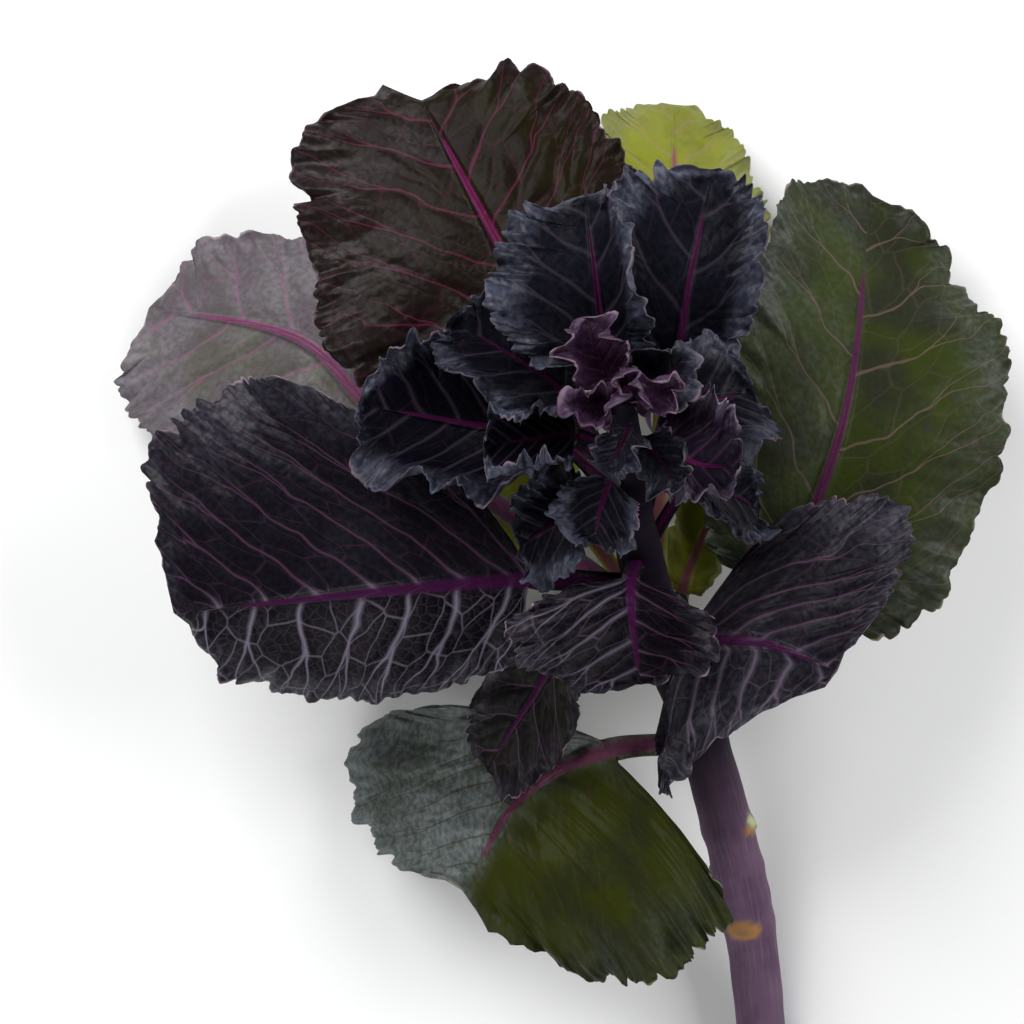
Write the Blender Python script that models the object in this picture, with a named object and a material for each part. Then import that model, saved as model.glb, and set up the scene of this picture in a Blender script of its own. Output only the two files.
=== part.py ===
"""Cut kale head lying on a table: a bent stem and its leaves, each a separate closed solid.

The stem comes in from the front with its cut end on the table and bends up to the heart of the head.
Each leaf is one row of sizes.  Leaves are laid from the top one down, and every leaf is pressed
just clear of the ones already laid above it, so no two of them touch.
"""
import math

import bpy
import numpy as np

MM = 0.001
HEAD_SPAN = 258.0          # width of the whole head of leaves, mm
STEM_DIAMETER = 15.5       # at the thickest part, mm
STEM_RISE = 112.0          # height of the growing tip above the table, mm
BLADE_THICKNESS = 1.0      # mm
PETIOLE_RADIUS = 3.0       # half width of a large leaf stalk where it joins the stem, mm
LEAF_GAP = 0.9             # clear distance kept under each leaf, mm
DRAWN_DIAMETER = 15.5      # stem diameter that the midribs below were drawn for, mm
DRAWN_PETIOLE = 3.0        # stalk radius that they were drawn for, mm
JOINT_GAP = 0.35           # clear distance between a leaf stalk and the stem, mm

SPREAD = HEAD_SPAN / 258.0
LIFT = STEM_RISE / 112.0
# Stem centre line from the cut end to the growing tip (x, y, z in mm).
STEM_LINE = [(50, -216, 7.7), (47, -180, 10.5), (42, -148, 18), (32, -111, 31), (21, -80, 47),
             (11, -55, 66), (5, -32, 85), (2, -12, 102), (0, 0, 112)]
STEM_SEGMENTS = 30
STEM_SIDES = 16
CLEAR_OF_STEM = 5.0        # leaves are pressed apart only this far out from the stem, mm
CELL = 1.5                 # cell of the height map used to lay the leaves, mm
MAP_HALF = 260.0           # the height map reaches this far from the growing tip, mm


def leaf_row(name, node, rib, half, rise=(0, 0), cup=(0, 0), roll=(0, 0), full=0.6, back=(0.2, 0.2),
             sweep=(0, 0), swell=((), ()), notch=0.05, wave=3.0, waves=5.0, stalk=1.0, seed=1,
             tint="dark", over=None):
    """One leaf.  node: distance of its joint below the growing tip.  rib: points along the midrib.
    half: widths to the left and right of the rib.  rise and cup: degrees each half turns up at the
    rib and bends up further by its edge.  roll: turn about the rib at its base and tip.  swell:
    places along each margin, 0 to 1, with the share by which the leaf swells out there."""
    return dict(name=name, node=node, rib=rib, half=half, rise=rise, cup=cup, roll=roll, full=full,
                back=back, sweep=sweep, swell=swell, notch=notch, wave=wave, waves=waves, stalk=stalk,
                seed=seed, tint=tint, over=over)


LEAVES = [
    leaf_row("heart_leaf_1", 1, [(1, 3, 119), (2, 5, 126), (0, 8, 133)], (4, 4),
             rise=(20, 20), cup=(50, 50), stalk=0.3, tint="heart", seed=31),
    leaf_row("heart_leaf_2", 5, [(-5, -1, 112), (-10, -2, 118), (-15, -1, 122)], (6, 6),
             rise=(20, 20), cup=(35, 35), back=(0, 0), stalk=0.35, tint="heart", seed=32),
    leaf_row("heart_leaf_3", 6, [(6, 0, 112), (11, 2, 118), (16, 4, 122)], (6, 6),
             rise=(20, 20), cup=(35, 35), back=(0, 0), stalk=0.35, tint="heart", seed=33),
    leaf_row("heart_leaf_4", 10, [(-3, 6, 110), (-6, 14, 117), (-7, 21, 122)], (9, 8),
             rise=(15, 15), cup=(30, 30), back=(0, 0), stalk=0.4, tint="heart", seed=34),
    leaf_row("heart_leaf_5", 13, [(2, -8, 111), (3, -14, 115), (2, -20, 117)], (7, 8),
             rise=(15, 15), cup=(35, 35), back=(-0.1, -0.1), stalk=0.4, tint="inner", seed=35),
    leaf_row("heart_leaf_6", 15, [(5, 3, 108), (13, 10, 115), (17, 18, 120)], (10, 9),
             rise=(15, 15), cup=(35, 35), stalk=0.5, tint="inner", seed=36),
    leaf_row("heart_leaf_7", 20, [(7, -11, 102), (12, -17, 106), (16, -24, 108)], (9, 9),
             rise=(10, 10), cup=(35, 35), back=(-0.1, -0.1), stalk=0.5, tint="inner", seed=38),
    leaf_row("inner_leaf_cup", 20, [(-12, -9, 104), (-22, -10, 103), (-37, -12, 104)], (20, 20),
             rise=(20, 20), cup=(65, 65), back=(0, -0.3), tint="inner", seed=15, stalk=0.6),
    leaf_row("inner_leaf_plum", 25, [(11, -13, 99), (23, -17, 98), (34, -18, 100)], (26, 12),
             rise=(12, 12), cup=(35, 25), back=(0, 0), tint="plum", seed=16, stalk=0.6),
    leaf_row("inner_leaf_low", 30, [(-2, -22, 100), (-5, -30, 100), (-6, -39, 96)], (13, 14),
             rise=(10, 10), cup=(15, 15), back=(-0.2, -0.2), tint="inner", seed=22, stalk=0.5),
    leaf_row("inner_leaf_top", 29, [(-3, 11, 99), (-6, 33, 106), (-9, 57, 101)], (30, 16),
             rise=(0, 35), cup=(-15, 15), full=0.5, back=(0.1, 0.1), tint="inner", seed=12, stalk=0.8),
    leaf_row("inner_leaf_upper_left", 38, [(-13, 1, 87), (-27, 12, 92), (-46, 23, 91)], (16, 20),
             rise=(15, 15), cup=(10, 10), back=(0, 0), tint="inner", seed=21, stalk=0.5),
    leaf_row("inner_leaf_frill_right", 36, [(16, -4, 90), (27, 1, 90), (38, 3, 84)], (22, 20),
             rise=(15, 15), cup=(10, 10), tint="inner", seed=17, stalk=0.65),
    leaf_row("inner_leaf_left", 42, [(-16, -10, 88), (-43, -5, 84), (-72, 0, 88)], (30, 34),
             rise=(8, 8), cup=(50, 45), full=0.6, back=(0.1, -0.1), tint="inner", seed=14, stalk=0.75),
    leaf_row("inner_leaf_top_right", 48, [(16, 4, 85), (20, 33, 92), (27, 65, 83)], (32, 20),
             rise=(0, 8), full=0.5, back=(0, 0.1), tint="inner", seed=13, stalk=0.75),
    leaf_row("inner_leaf_frill_low", 51, [(-9, -30, 88), (-17, -33, 88), (-27, -40, 82)], (16, 16),
             rise=(10, 10), tint="inner", seed=19, stalk=0.55),
    leaf_row("inner_leaf_frill_side", 56, [(21, -22, 81), (31, -24, 78), (42, -30, 70)], (14, 14),
             rise=(10, 10), tint="inner", seed=20, stalk=0.6),
    leaf_row("front_leaf_centre", 55, [(4, -49, 91), (4, -60, 96), (7, -79, 84)], (24, 36),
             rise=(-6, -4), cup=(-12, -10), full=0.5, back=(-0.2, -0.2), tint="dark", seed=18, stalk=0.7),
    leaf_row("front_leaf_left", 68, [(-25, -49, 76), (-72, -53, 78), (-125, -59, 60)], (38, 64),
             rise=(-18, 6), cup=(-30, -6), full=0.5, back=(0.1, -0.75), sweep=(0, 0.18),
             swell=(((0.85, -0.06),), ((0.9, 0.05),)), tint="dark", seed=4),
    leaf_row("outer_leaf_top_left", 61, [(-19, 18, 82), (-36, 52, 74), (-56, 91, 56)], (56, 45),
             rise=(4, 4), cup=(-10, -10), full=0.5, back=(0.25, 0.1), sweep=(-0.1, -0.1),
             swell=(((0.93, 0.2), (0.72, -0.05)), ((0.8, 0.03),)), tint="brown", seed=2),
    leaf_row("front_leaf_right", 88, [(23, -66, 72), (42, -67, 82), (63, -75, 76)], (52, 46),
             rise=(0, -4), cup=(-12, -8), full=0.5, back=(0, 0), sweep=(0.55, -1.2), tint="dark", seed=6,
             over=1),
    leaf_row("outer_leaf_right", 104, [(48, -52, 48), (68, -2, 52), (81, 65, 14)], (36, 50),
             rise=(6, 4), cup=(-14, -14), full=0.5, back=(0.1, 0.1), sweep=(0, -0.06),
             swell=(((0.88, 0.05),), ((0.12, 0.06), (0.8, -0.04))), tint="green", seed=5),
    leaf_row("hanging_leaf", 100, [(-13, -73, 58), (-24, -86, 52), (-37, -108, 38)], (17, 17),
             back=(0.1, 0), tint="dark", seed=11, stalk=0.6),
    leaf_row("outer_leaf_bottom", 128, [(-2, -100, 58), (-27, -116, 55), (-43, -142, 36)], (66, 50),
             rise=(2, -4), cup=(-10, -18), full=0.5, back=(0.1, 0.1), sweep=(-0.25, 0.95),
             swell=(((0.12, 0.3), (0.85, 0.1)), ((0.38, 0.25),)), tint="olive", seed=7, over=1),
    leaf_row("outer_leaf_left", 82, [(-65, -4, 42), (-93, 22, 34), (-141, 33, 8)], (46, 32),
             cup=(-10, -10), full=0.5, back=(0.1, 0.1), tint="grey", seed=3),
    leaf_row("under_leaf_left", 92, [(-15, -28, 44), (-42, -30, 34), (-72, -32, 20)], (25, 25),
             tint="yellow", seed=9, stalk=0.8),
    leaf_row("outer_leaf_back", 74, [(17, 18, 44), (20, 57, 26), (21, 97, 5)], (30, 31),
             full=0.5, swell=((), ((0.8, -0.15),)), tint="yellow", seed=8),
    leaf_row("under_leaf_right", 98, [(21, -53, 48), (27, -38, 42), (36, -17, 34)], (10, 10),
             tint="yellow", seed=10, stalk=0.7),
]


def smooth_line(points, count):
    """A smooth curve through the points, evenly spaced along its length, and that length."""
    points = np.asarray(points, float)
    padded = np.vstack([2 * points[0] - points[1], points, 2 * points[-1] - points[-2]])
    fine = []
    for i in range(len(points) - 1):
        a, b, c, d = padded[i:i + 4]
        t = np.linspace(0, 1, 24, endpoint=False)[:, None]
        fine.append(0.5 * (2 * b + (c - a) * t + (2 * a - 5 * b + 4 * c - d) * t**2
                           + (3 * b - a - 3 * c + d) * t**3))
    fine = np.vstack(fine + [points[-1:]])
    along = np.concatenate([[0], np.cumsum(np.linalg.norm(np.diff(fine, axis=0), axis=1))])
    at = np.linspace(0, along[-1], count)
    return np.stack([np.interp(at, along, fine[:, k]) for k in range(3)], axis=1), along[-1]


def placed(points):
    """Design points turned into real ones for the chosen head width and height."""
    return np.asarray(points, float) * (SPREAD, SPREAD, LIFT)


STEM, STEM_LENGTH = smooth_line(placed(STEM_LINE), 240)


def stem_radius(along):
    """Radius at a share of the way from the cut end to the growing tip."""
    share = np.asarray(along)
    return STEM_DIAMETER / 2 * (0.93 + 0.07 * np.sin(math.pi * np.clip(share / 0.6, 0, 1))
                                - 0.45 * np.clip((share - 0.6) / 0.4, 0, 1) ** 1.3)


def stem_point(below_tip):
    """Centre of the stem at a distance below the growing tip."""
    at = np.linspace(0, STEM_LENGTH, len(STEM))
    return np.array([np.interp(STEM_LENGTH - below_tip, at, STEM[:, k]) for k in range(3)])


def rib_points(leaf):
    """Where a leaf springs from inside the stem, then its midrib, moved out as stem and stalk thicken."""
    centre = stem_point(leaf["node"] * SPREAD)
    points = placed(leaf["rib"])
    away = points[0] - centre
    away /= np.linalg.norm(away)
    thicker = (STEM_DIAMETER - DRAWN_DIAMETER) / 2 + PETIOLE_RADIUS - DRAWN_PETIOLE
    return np.vstack([centre + away * 0.2 * STEM_DIAMETER, points + away * thicker])


def rib_frames(leaf, count=64):
    """Points, tangents, side vectors and upper normals along the midrib, its length and stalk length."""
    points = rib_points(leaf)
    line, length = smooth_line(points, count)
    stalk = length * np.argmin(np.linalg.norm(line - points[1], axis=1)) / (count - 1)
    tangent = np.gradient(line, axis=0)
    tangent /= np.linalg.norm(tangent, axis=1)[:, None]
    overall = (line[-1] - line[0]) * (1, 1, 0)
    flat = tangent * (1, 1, 0) + 2.5 * overall / np.linalg.norm(overall)
    side = np.stack([-flat[:, 1], flat[:, 0], np.zeros(count)], axis=1)
    side /= np.linalg.norm(side, axis=1)[:, None]
    normal = np.cross(tangent, side)
    normal /= np.linalg.norm(normal, axis=1)[:, None]
    roll = np.radians(np.linspace(leaf["roll"][0], leaf["roll"][1], count))[:, None]
    turned = side * np.cos(roll) + normal * np.sin(roll)
    return line, tangent, turned, normal * np.cos(roll) - side * np.sin(roll), length, stalk


def half_outline(leaf, u, left, stalk, blade, width):
    """Margin of one half of the flat leaf: distance along the rib and distance out from it."""
    angle = math.pi * u
    along = stalk + blade * (1 - np.cos(angle)) / 2
    along = along - leaf["back"][0 if left else 1] * width * np.sin(angle) * (1 - u) ** 1.5
    out = width * np.sin(angle) ** leaf["full"]
    rng = np.random.default_rng(leaf["seed"] * 7 + (3 if left else 0))
    shrink = 0.03 * np.sin(2 * math.pi * (u * 2.3 + rng.uniform())) * np.sin(angle)
    for k in range(6):
        depth = leaf["notch"] * rng.uniform(0.3, 1.6)
        centre = (k + 0.5 + rng.uniform(-0.2, 0.2)) / 6
        shrink = shrink + depth * np.exp(-((u - centre) / 0.02) ** 2)
    for place, size in leaf["swell"][0 if left else 1]:
        shrink = shrink - size * np.exp(-((u - place) / 0.13) ** 2)
    middle = stalk + 0.35 * blade
    return middle + (along - middle) * (1 - shrink), out * (1 - shrink)


def leaf_surface(leaf, stalk_rows, rows, rib_columns, columns, ruffle=1.0):
    """Grid of points midway through the leaf, its upper normals and its thickness each way."""
    line, tangent, side, normal, length, stalk = rib_frames(leaf)
    blade = length - stalk
    at = np.linspace(0, length, len(line))
    base_radius = PETIOLE_RADIUS * leaf["stalk"]

    def along_rib(values, a):
        clipped = np.clip(a, 0, length)
        return np.stack([np.interp(clipped, at, values[:, k]) for k in range(3)], axis=-1)

    def rib_radius(a):
        share = np.clip((a - stalk) / blade, 0, 1)
        return base_radius * (1 + 0.35 * np.exp(-a / 8)) * (1 - 0.88 * share) ** 1.1 + 0.15

    j = np.arange(columns + 1)
    v = j / columns
    round_share = np.sin(math.pi / 2 * v)[None, :]
    rib_share = np.minimum(j / rib_columns, 1)[None, :]
    blade_share = np.clip((j - rib_columns) / (columns - rib_columns), 0, 1)[None, :]
    us = np.linspace(0, 1, rows + 1)
    ends = np.linspace(0, stalk, stalk_rows + 1)[:-1]
    halves = []
    for left in (True, False):
        pick = 0 if left else 1
        sign = 1 if left else -1
        width = leaf["half"][pick] * SPREAD
        rise = math.radians(leaf["rise"][pick])
        cup = math.radians(leaf["cup"][pick])
        stalk_a = np.repeat(ends[:, None], columns + 1, 1)
        stalk_b = rib_radius(stalk_a) * round_share
        edge_a, edge_b = half_outline(leaf, us, left, stalk, blade, width)
        rib_a = stalk + 0.93 * blade * us ** 1.25
        edge_b = np.where(us < 0.5, np.sqrt(edge_b**2 + base_radius**2), edge_b)
        edge_b[-1] = 0
        blend = np.clip(us / 0.08, 0, 1)[:, None]
        inner = np.minimum(rib_radius(rib_a), edge_b)[:, None]
        blade_b = inner * ((1 - blend) * round_share + blend * rib_share)
        blade_b = blade_b + (edge_b[:, None] - inner) * blade_share * blend
        share = np.where(edge_b[:, None] > 1e-6, blade_b / np.maximum(edge_b[:, None], 1e-6), v[None, :])
        bow = (rib_a + edge_a)[:, None] / 2 - 0.1 * edge_b[:, None]
        blade_a = (1 - share)**2 * rib_a[:, None] + 2 * share * (1 - share) * bow + share**2 * edge_a[:, None]
        a = np.vstack([stalk_a, blade_a])
        b = np.vstack([stalk_b, blade_b])
        a = a + leaf["sweep"][pick] * np.maximum(b - base_radius, 0)
        turn = rise + cup * b / width
        if abs(cup) < 1e-4:
            across, up = b * math.cos(rise), b * math.sin(rise)
        else:
            across = width / cup * (np.sin(turn) - math.sin(rise))
            up = width / cup * (math.cos(rise) - np.cos(turn))
        beyond = np.maximum(a - length, 0)[..., None] * along_rib(tangent, np.full_like(a, length))
        n = along_rib(normal, a)
        s = along_rib(side, a) * sign
        points = along_rib(line, a) + beyond + s * across[..., None] + n * up[..., None]
        face = n * np.cos(turn)[..., None] - s * np.sin(turn)[..., None]
        round_edge = np.concatenate([np.zeros(len(ends)), us if left else 2 - us])[:, None]
        if not left:
            round_edge[:len(ends)] = 2
        far = np.vstack([np.zeros_like(stalk_a), share])
        ramp = np.clip((far - 0.35) / 0.65, 0, 1) ** 1.6
        phase = np.random.default_rng(leaf["seed"]).uniform(0, 2 * math.pi, 2)
        swell = (np.sin(math.pi * leaf["waves"] * round_edge + phase[0])
                 + 0.6 * np.sin(math.pi * leaf["waves"] * 1.7 * round_edge + phase[1]))
        points = points + face * (ruffle * 0.65 * leaf["wave"] * ramp * swell)[..., None]
        radius = rib_radius(a)
        bulge = radius * np.sqrt(np.clip(1 - (b / radius) ** 2, 0, 1))
        halves.append(dict(points=points, face=face, above=0.4 * bulge, below=0.95 * bulge))

    def joined(key):
        return np.concatenate([halves[0][key][:, :0:-1], halves[1][key]], axis=1)

    return {key: joined(key) for key in ("points", "face", "above", "below")}


def refined(grid, steps):
    """A grid of values filled in between its rows and columns."""
    rows = np.linspace(0, grid.shape[0] - 1, (grid.shape[0] - 1) * steps + 1)
    columns = np.linspace(0, grid.shape[1] - 1, (grid.shape[1] - 1) * steps + 1)
    i = np.minimum(rows.astype(int), grid.shape[0] - 2)
    j = np.minimum(columns.astype(int), grid.shape[1] - 2)
    f = (rows - i)[:, None]
    g = (columns - j)[None, :]
    if grid.ndim == 3:
        f, g = f[..., None], g[..., None]
    low = grid[i][:, j] * (1 - g) + grid[i][:, j + 1] * g
    high = grid[i + 1][:, j] * (1 - g) + grid[i + 1][:, j + 1] * g
    return low * (1 - f) + high * f


def stem_distance(points):
    """Distance of each point from the stem's skin, less than nothing inside it."""
    flat = points.reshape(-1, 3)
    line = STEM[::3]
    away = np.linalg.norm(flat[:, None] - line[None], axis=2)
    near = np.argmin(away, axis=1)
    radius = stem_radius(np.linspace(0, 1, len(STEM))[::3])
    return (away[np.arange(len(flat)), near] - radius[near]).reshape(points.shape[:-1])


class HeightMap:
    """Lowest height already taken above each small cell of the table."""

    def __init__(self):
        count = int(2 * MAP_HALF / CELL) + 1
        self.low = np.full((count, count), 1e6)

    def cells(self, points):
        index = np.rint((points[..., :2] + MAP_HALF) / CELL).astype(int)
        index = np.clip(index, 2, len(self.low) - 3)
        return index[..., 0], index[..., 1]

    def add(self, points, below):
        """Records the underside of a leaf, and a cell beyond its edge."""
        x, y = self.cells(points)
        height = points[..., 2] - below
        height = np.where(stem_distance(points) < CLEAR_OF_STEM, 1e6, height)
        for dx in (-1, 0, 1):
            for dy in (-1, 0, 1):
                np.minimum.at(self.low, (x + dx, y + dy), height)

    def overlap(self, points, above):
        """How far each point must go down to clear everything laid above it."""
        x, y = self.cells(points)
        push = np.maximum(points[..., 2] + above + LEAF_GAP - self.low[x, y], 0)
        return np.where(stem_distance(points) < CLEAR_OF_STEM, 0, push)


def lift_over_stem(surface, stalk_rows, steps=6):
    """Raises the blade of a leaf where it would cross the stem, clear of the stem's top."""
    points = surface["points"]
    for _ in range(3):
        fine = refined(points, steps)
        below = refined(surface["below"], steps) + BLADE_THICKNESS / 2
        flat = fine.reshape(-1, 3)
        line = STEM[::3]
        radius = stem_radius(np.linspace(0, 1, len(STEM))[::3]) + JOINT_GAP + 0.5
        away = np.linalg.norm(flat[:, None, :2] - line[None, :, :2], axis=2)
        top = line[None, :, 2] + np.sqrt(np.maximum(radius[None] ** 2 - away**2, 0))
        top = np.where(away < radius[None], top, -1e6).max(axis=1).reshape(fine.shape[:-1])
        need = np.maximum(top - (fine[..., 2] - below), 0)
        need[:(stalk_rows + 1) * steps] = 0
        rows, columns = points.shape[:2]
        lift = block_most(need, rows, columns, steps)
        if lift.max() < 0.05:
            break
        points[..., 2] += spread_out(lift, 6)


def block_most(fine, rows, columns, steps):
    """The most of a filled-in grid around each of its original points."""
    most = np.zeros((rows, columns))
    for i in range(rows):
        for j in range(columns):
            most[i, j] = fine[max(i * steps - steps + 1, 0):i * steps + steps,
                              max(j * steps - steps + 1, 0):j * steps + steps].max()
    return most


def spread_out(push, rounds):
    """Smooths the push over the leaf without letting any point keep less than it needs."""
    smooth = push.copy()
    for _ in range(rounds):
        padded = np.pad(smooth, 1, mode="edge")
        near = (padded[:-2, 1:-1] + padded[2:, 1:-1] + padded[1:-1, :-2] + padded[1:-1, 2:]) / 4
        smooth = np.maximum(push, 0.15 * smooth + 0.85 * near)
    return smooth


def press_under(surface, taken, steps=6, rounds=5):
    """Presses a leaf down clear of the leaves above it, then onto the table where it would sink."""
    points = surface["points"]
    half = BLADE_THICKNESS / 2
    for _ in range(3):
        fine = refined(points, steps)
        above = refined(surface["above"], steps) + half + 0.25
        push = taken.overlap(fine, above)
        needed = block_most(push, *points.shape[:2], steps)
        if needed.max() < 0.05:
            break
        points[..., 2] -= spread_out(needed, rounds)
    soft = 3.0
    least = half + 0.4
    points[..., 2] = least + soft * np.logaddexp(0, (points[..., 2] - least) / soft)
    taken.add(refined(points, steps), refined(surface["below"], steps) + half)


def closed_leaf(surface):
    """Vertices and faces of the leaf as one closed solid: top, underside, edge and stalk end."""
    half = BLADE_THICKNESS / 2
    top = surface["points"] + surface["face"] * (half + surface["above"])[..., None]
    low = surface["points"] - surface["face"] * (half + surface["below"])[..., None]
    rows, columns = top.shape[:2]
    index = np.arange(rows * columns).reshape(rows, columns)
    middle = columns // 2
    for j in range(middle):
        index[-1, j] = index[-1, columns - 1 - j]
    count = rows * columns
    under = index + count
    faces = []
    for i in range(rows - 1):
        for j in range(columns - 1):
            faces.append((index[i, j], index[i, j + 1], index[i + 1, j + 1], index[i + 1, j]))
            faces.append((under[i, j], under[i + 1, j], under[i + 1, j + 1], under[i, j + 1]))
    rim = list(index[:, 0]) + list(index[-2::-1, -1])
    for near, far in zip(rim[:-1], rim[1:]):
        faces.append((near, far, far + count, near + count))
    for j in range(columns - 1):
        faces.append((index[0, j + 1], index[0, j], under[0, j], under[0, j + 1]))
    return np.vstack([top.reshape(-1, 3), low.reshape(-1, 3)]), faces


def tube(grow, segments, sides, start=0.0, end=1.0):
    """The stem as a closed tube around its centre line, wider by grow all round."""
    shares = np.linspace(start, end, segments + 1)
    at = np.linspace(0, 1, len(STEM))
    centres = np.stack([np.interp(shares, at, STEM[:, k]) for k in range(3)], axis=1)
    tangent = np.gradient(centres, axis=0)
    tangent /= np.linalg.norm(tangent, axis=1)[:, None]
    if grow > 0:
        centres[0] -= tangent[0] * grow
        centres[-1] += tangent[-1] * grow
    across = np.cross(tangent, (0, 0, 1))
    across /= np.linalg.norm(across, axis=1)[:, None]
    other = np.cross(across, tangent)
    angles = np.linspace(0, 2 * math.pi, sides, endpoint=False)
    radius = stem_radius(shares) + grow
    ring = (centres[:, None] + radius[:, None, None] * (np.cos(angles)[None, :, None] * across[:, None]
            + np.sin(angles)[None, :, None] * other[:, None]))
    faces = []
    for i in range(segments):
        for j in range(sides):
            k = (j + 1) % sides
            faces.append((i * sides + j, (i + 1) * sides + j, (i + 1) * sides + k, i * sides + k))
    faces.append(tuple(range(sides)))
    faces.append(tuple(segments * sides + j for j in range(sides - 1, -1, -1)))
    return ring.reshape(-1, 3), faces


def laid_leaves(stalk_rows=3):
    """Every leaf surface, laid from the top of the head down."""
    taken = HeightMap()
    laid = []
    for leaf in LEAVES:
        large = max(leaf["half"]) > 24
        surface = leaf_surface(leaf, stalk_rows if large else 2, 10 if large else 7, 1, 4 if large else 3)
        if leaf["over"]:
            lift_over_stem(surface, stalk_rows if large else 2)
        press_under(surface, taken)
        laid.append((leaf, surface))
    return laid


TINTS = {
    "dark": (0.030, 0.024, 0.034),
    "inner": (0.016, 0.017, 0.030),
    "heart": (0.060, 0.018, 0.050),
    "plum": (0.090, 0.065, 0.100),
    "brown": (0.050, 0.032, 0.028),
    "grey": (0.110, 0.095, 0.110),
    "green": (0.060, 0.072, 0.045),
    "olive": (0.075, 0.090, 0.035),
    "yellow": (0.240, 0.270, 0.040),
    "stem": (0.105, 0.055, 0.090),
}


def material(tint):
    """A plain coloured material for one kind of leaf or the stem."""
    found = bpy.data.materials.get(tint)
    if found:
        return found
    made = bpy.data.materials.new(tint)
    made.use_nodes = True
    shader = made.node_tree.nodes["Principled BSDF"]
    shader.inputs["Base Color"].default_value = (*TINTS[tint], 1.0)
    shader.inputs["Roughness"].default_value = 0.55
    shader.inputs["Metallic"].default_value = 0.0
    return made


def add_object(name, points, faces, tint, parent, smooth=True):
    """One named mesh object from points in mm."""
    used = sorted({int(i) for face in faces for i in face})
    renumber = {old: new for new, old in enumerate(used)}
    mesh = bpy.data.meshes.new(name)
    corners = [tuple(points[i] * MM) for i in used]
    mesh.from_pydata(corners, [], [[renumber[int(i)] for i in face] for face in faces])
    mesh.validate()
    mesh.polygons.foreach_set("use_smooth", [smooth] * len(mesh.polygons))
    made = bpy.data.objects.new(name, mesh)
    bpy.context.scene.collection.objects.link(made)
    made.parent = parent
    mesh.materials.append(material(tint))
    return made


def main():
    for old in list(bpy.data.objects):
        bpy.data.objects.remove(old, do_unlink=True)
    root = bpy.data.objects.new("kale", None)
    bpy.context.scene.collection.objects.link(root)
    stem_points, stem_faces = tube(0.0, STEM_SEGMENTS, STEM_SIDES)
    everything = [stem_points]
    add_object("stem", stem_points, stem_faces, "stem", root)
    cutter = add_object("stem_clearance", *tube(JOINT_GAP, STEM_SEGMENTS, STEM_SIDES), "stem", root)
    cutter.hide_render = True
    cutter.display_type = "WIRE"
    for leaf, surface in laid_leaves():
        points, faces = closed_leaf(surface)
        made = add_object(leaf["name"], points, faces, leaf["tint"], root)
        cut = made.modifiers.new("joint", "BOOLEAN")
        cut.operation = "DIFFERENCE"
        cut.solver = "EXACT"
        cut.object = cutter
        everything.append(points)
    cloud = np.vstack(everything)
    low, high = cloud.min(axis=0), cloud.max(axis=0)
    root.location = (-(low[0] + high[0]) / 2 * MM, -(low[1] + high[1]) / 2 * MM, -low[2] * MM)


if __name__ == "__main__":
    main()
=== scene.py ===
"""Looks of the cut kale head: puckered, frilled, veined leaves on a bloomed mauve stem.

The leaves follow the same rows of sizes as the solids they stand for.  Each is laid as a coarse
sheet first, then filled in finely, and Geometry Nodes adds its frills and puckers.
"""
import math

import bpy
import numpy as np
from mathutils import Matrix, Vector


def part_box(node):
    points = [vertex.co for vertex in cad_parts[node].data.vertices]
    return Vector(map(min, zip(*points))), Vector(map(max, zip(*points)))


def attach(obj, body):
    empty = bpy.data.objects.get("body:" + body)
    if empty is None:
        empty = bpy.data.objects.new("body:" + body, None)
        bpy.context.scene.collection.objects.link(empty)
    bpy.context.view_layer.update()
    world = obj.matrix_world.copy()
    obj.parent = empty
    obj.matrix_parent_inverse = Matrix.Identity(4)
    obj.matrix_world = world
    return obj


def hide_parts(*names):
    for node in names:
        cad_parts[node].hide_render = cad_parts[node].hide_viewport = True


bl_info = {
    "name": "Kale Head Looks",
    "version": (1, 0, 0),
    "blender": (4, 5, 0),
    "location": "3D Viewport > Sidebar > Kale",
    "description": "Builds the visible leaves, stem and stage of a cut kale head",
    "category": "Object",
}

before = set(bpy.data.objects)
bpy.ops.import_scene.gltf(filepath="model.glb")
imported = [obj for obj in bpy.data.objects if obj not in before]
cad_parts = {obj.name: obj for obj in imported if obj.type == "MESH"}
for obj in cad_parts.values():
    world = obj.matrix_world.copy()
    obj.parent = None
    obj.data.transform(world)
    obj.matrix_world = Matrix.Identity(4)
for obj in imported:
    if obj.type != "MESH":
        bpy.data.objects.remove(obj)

MM = 0.001
HEAD_SPAN = 258.0          # width of the whole head of leaves, mm
STEM_DIAMETER = 15.5       # at the thickest part, mm
STEM_RISE = 112.0          # height of the growing tip above the table, mm
SOLID_THICKNESS = 1.0      # blade of the solids, mm
PETIOLE_RADIUS = 3.0       # half width of a large leaf stalk where it joins the stem, mm
LEAF_GAP = 0.9             # clear distance kept under each leaf, mm
JOINT_GAP = 0.35           # clear distance between a leaf stalk and the stem in the solids, mm
STALK_ROWS = 3             # rows of the coarse sheet along a large leaf's stalk

SPREAD = HEAD_SPAN / 258.0
LIFT = STEM_RISE / 112.0
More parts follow.
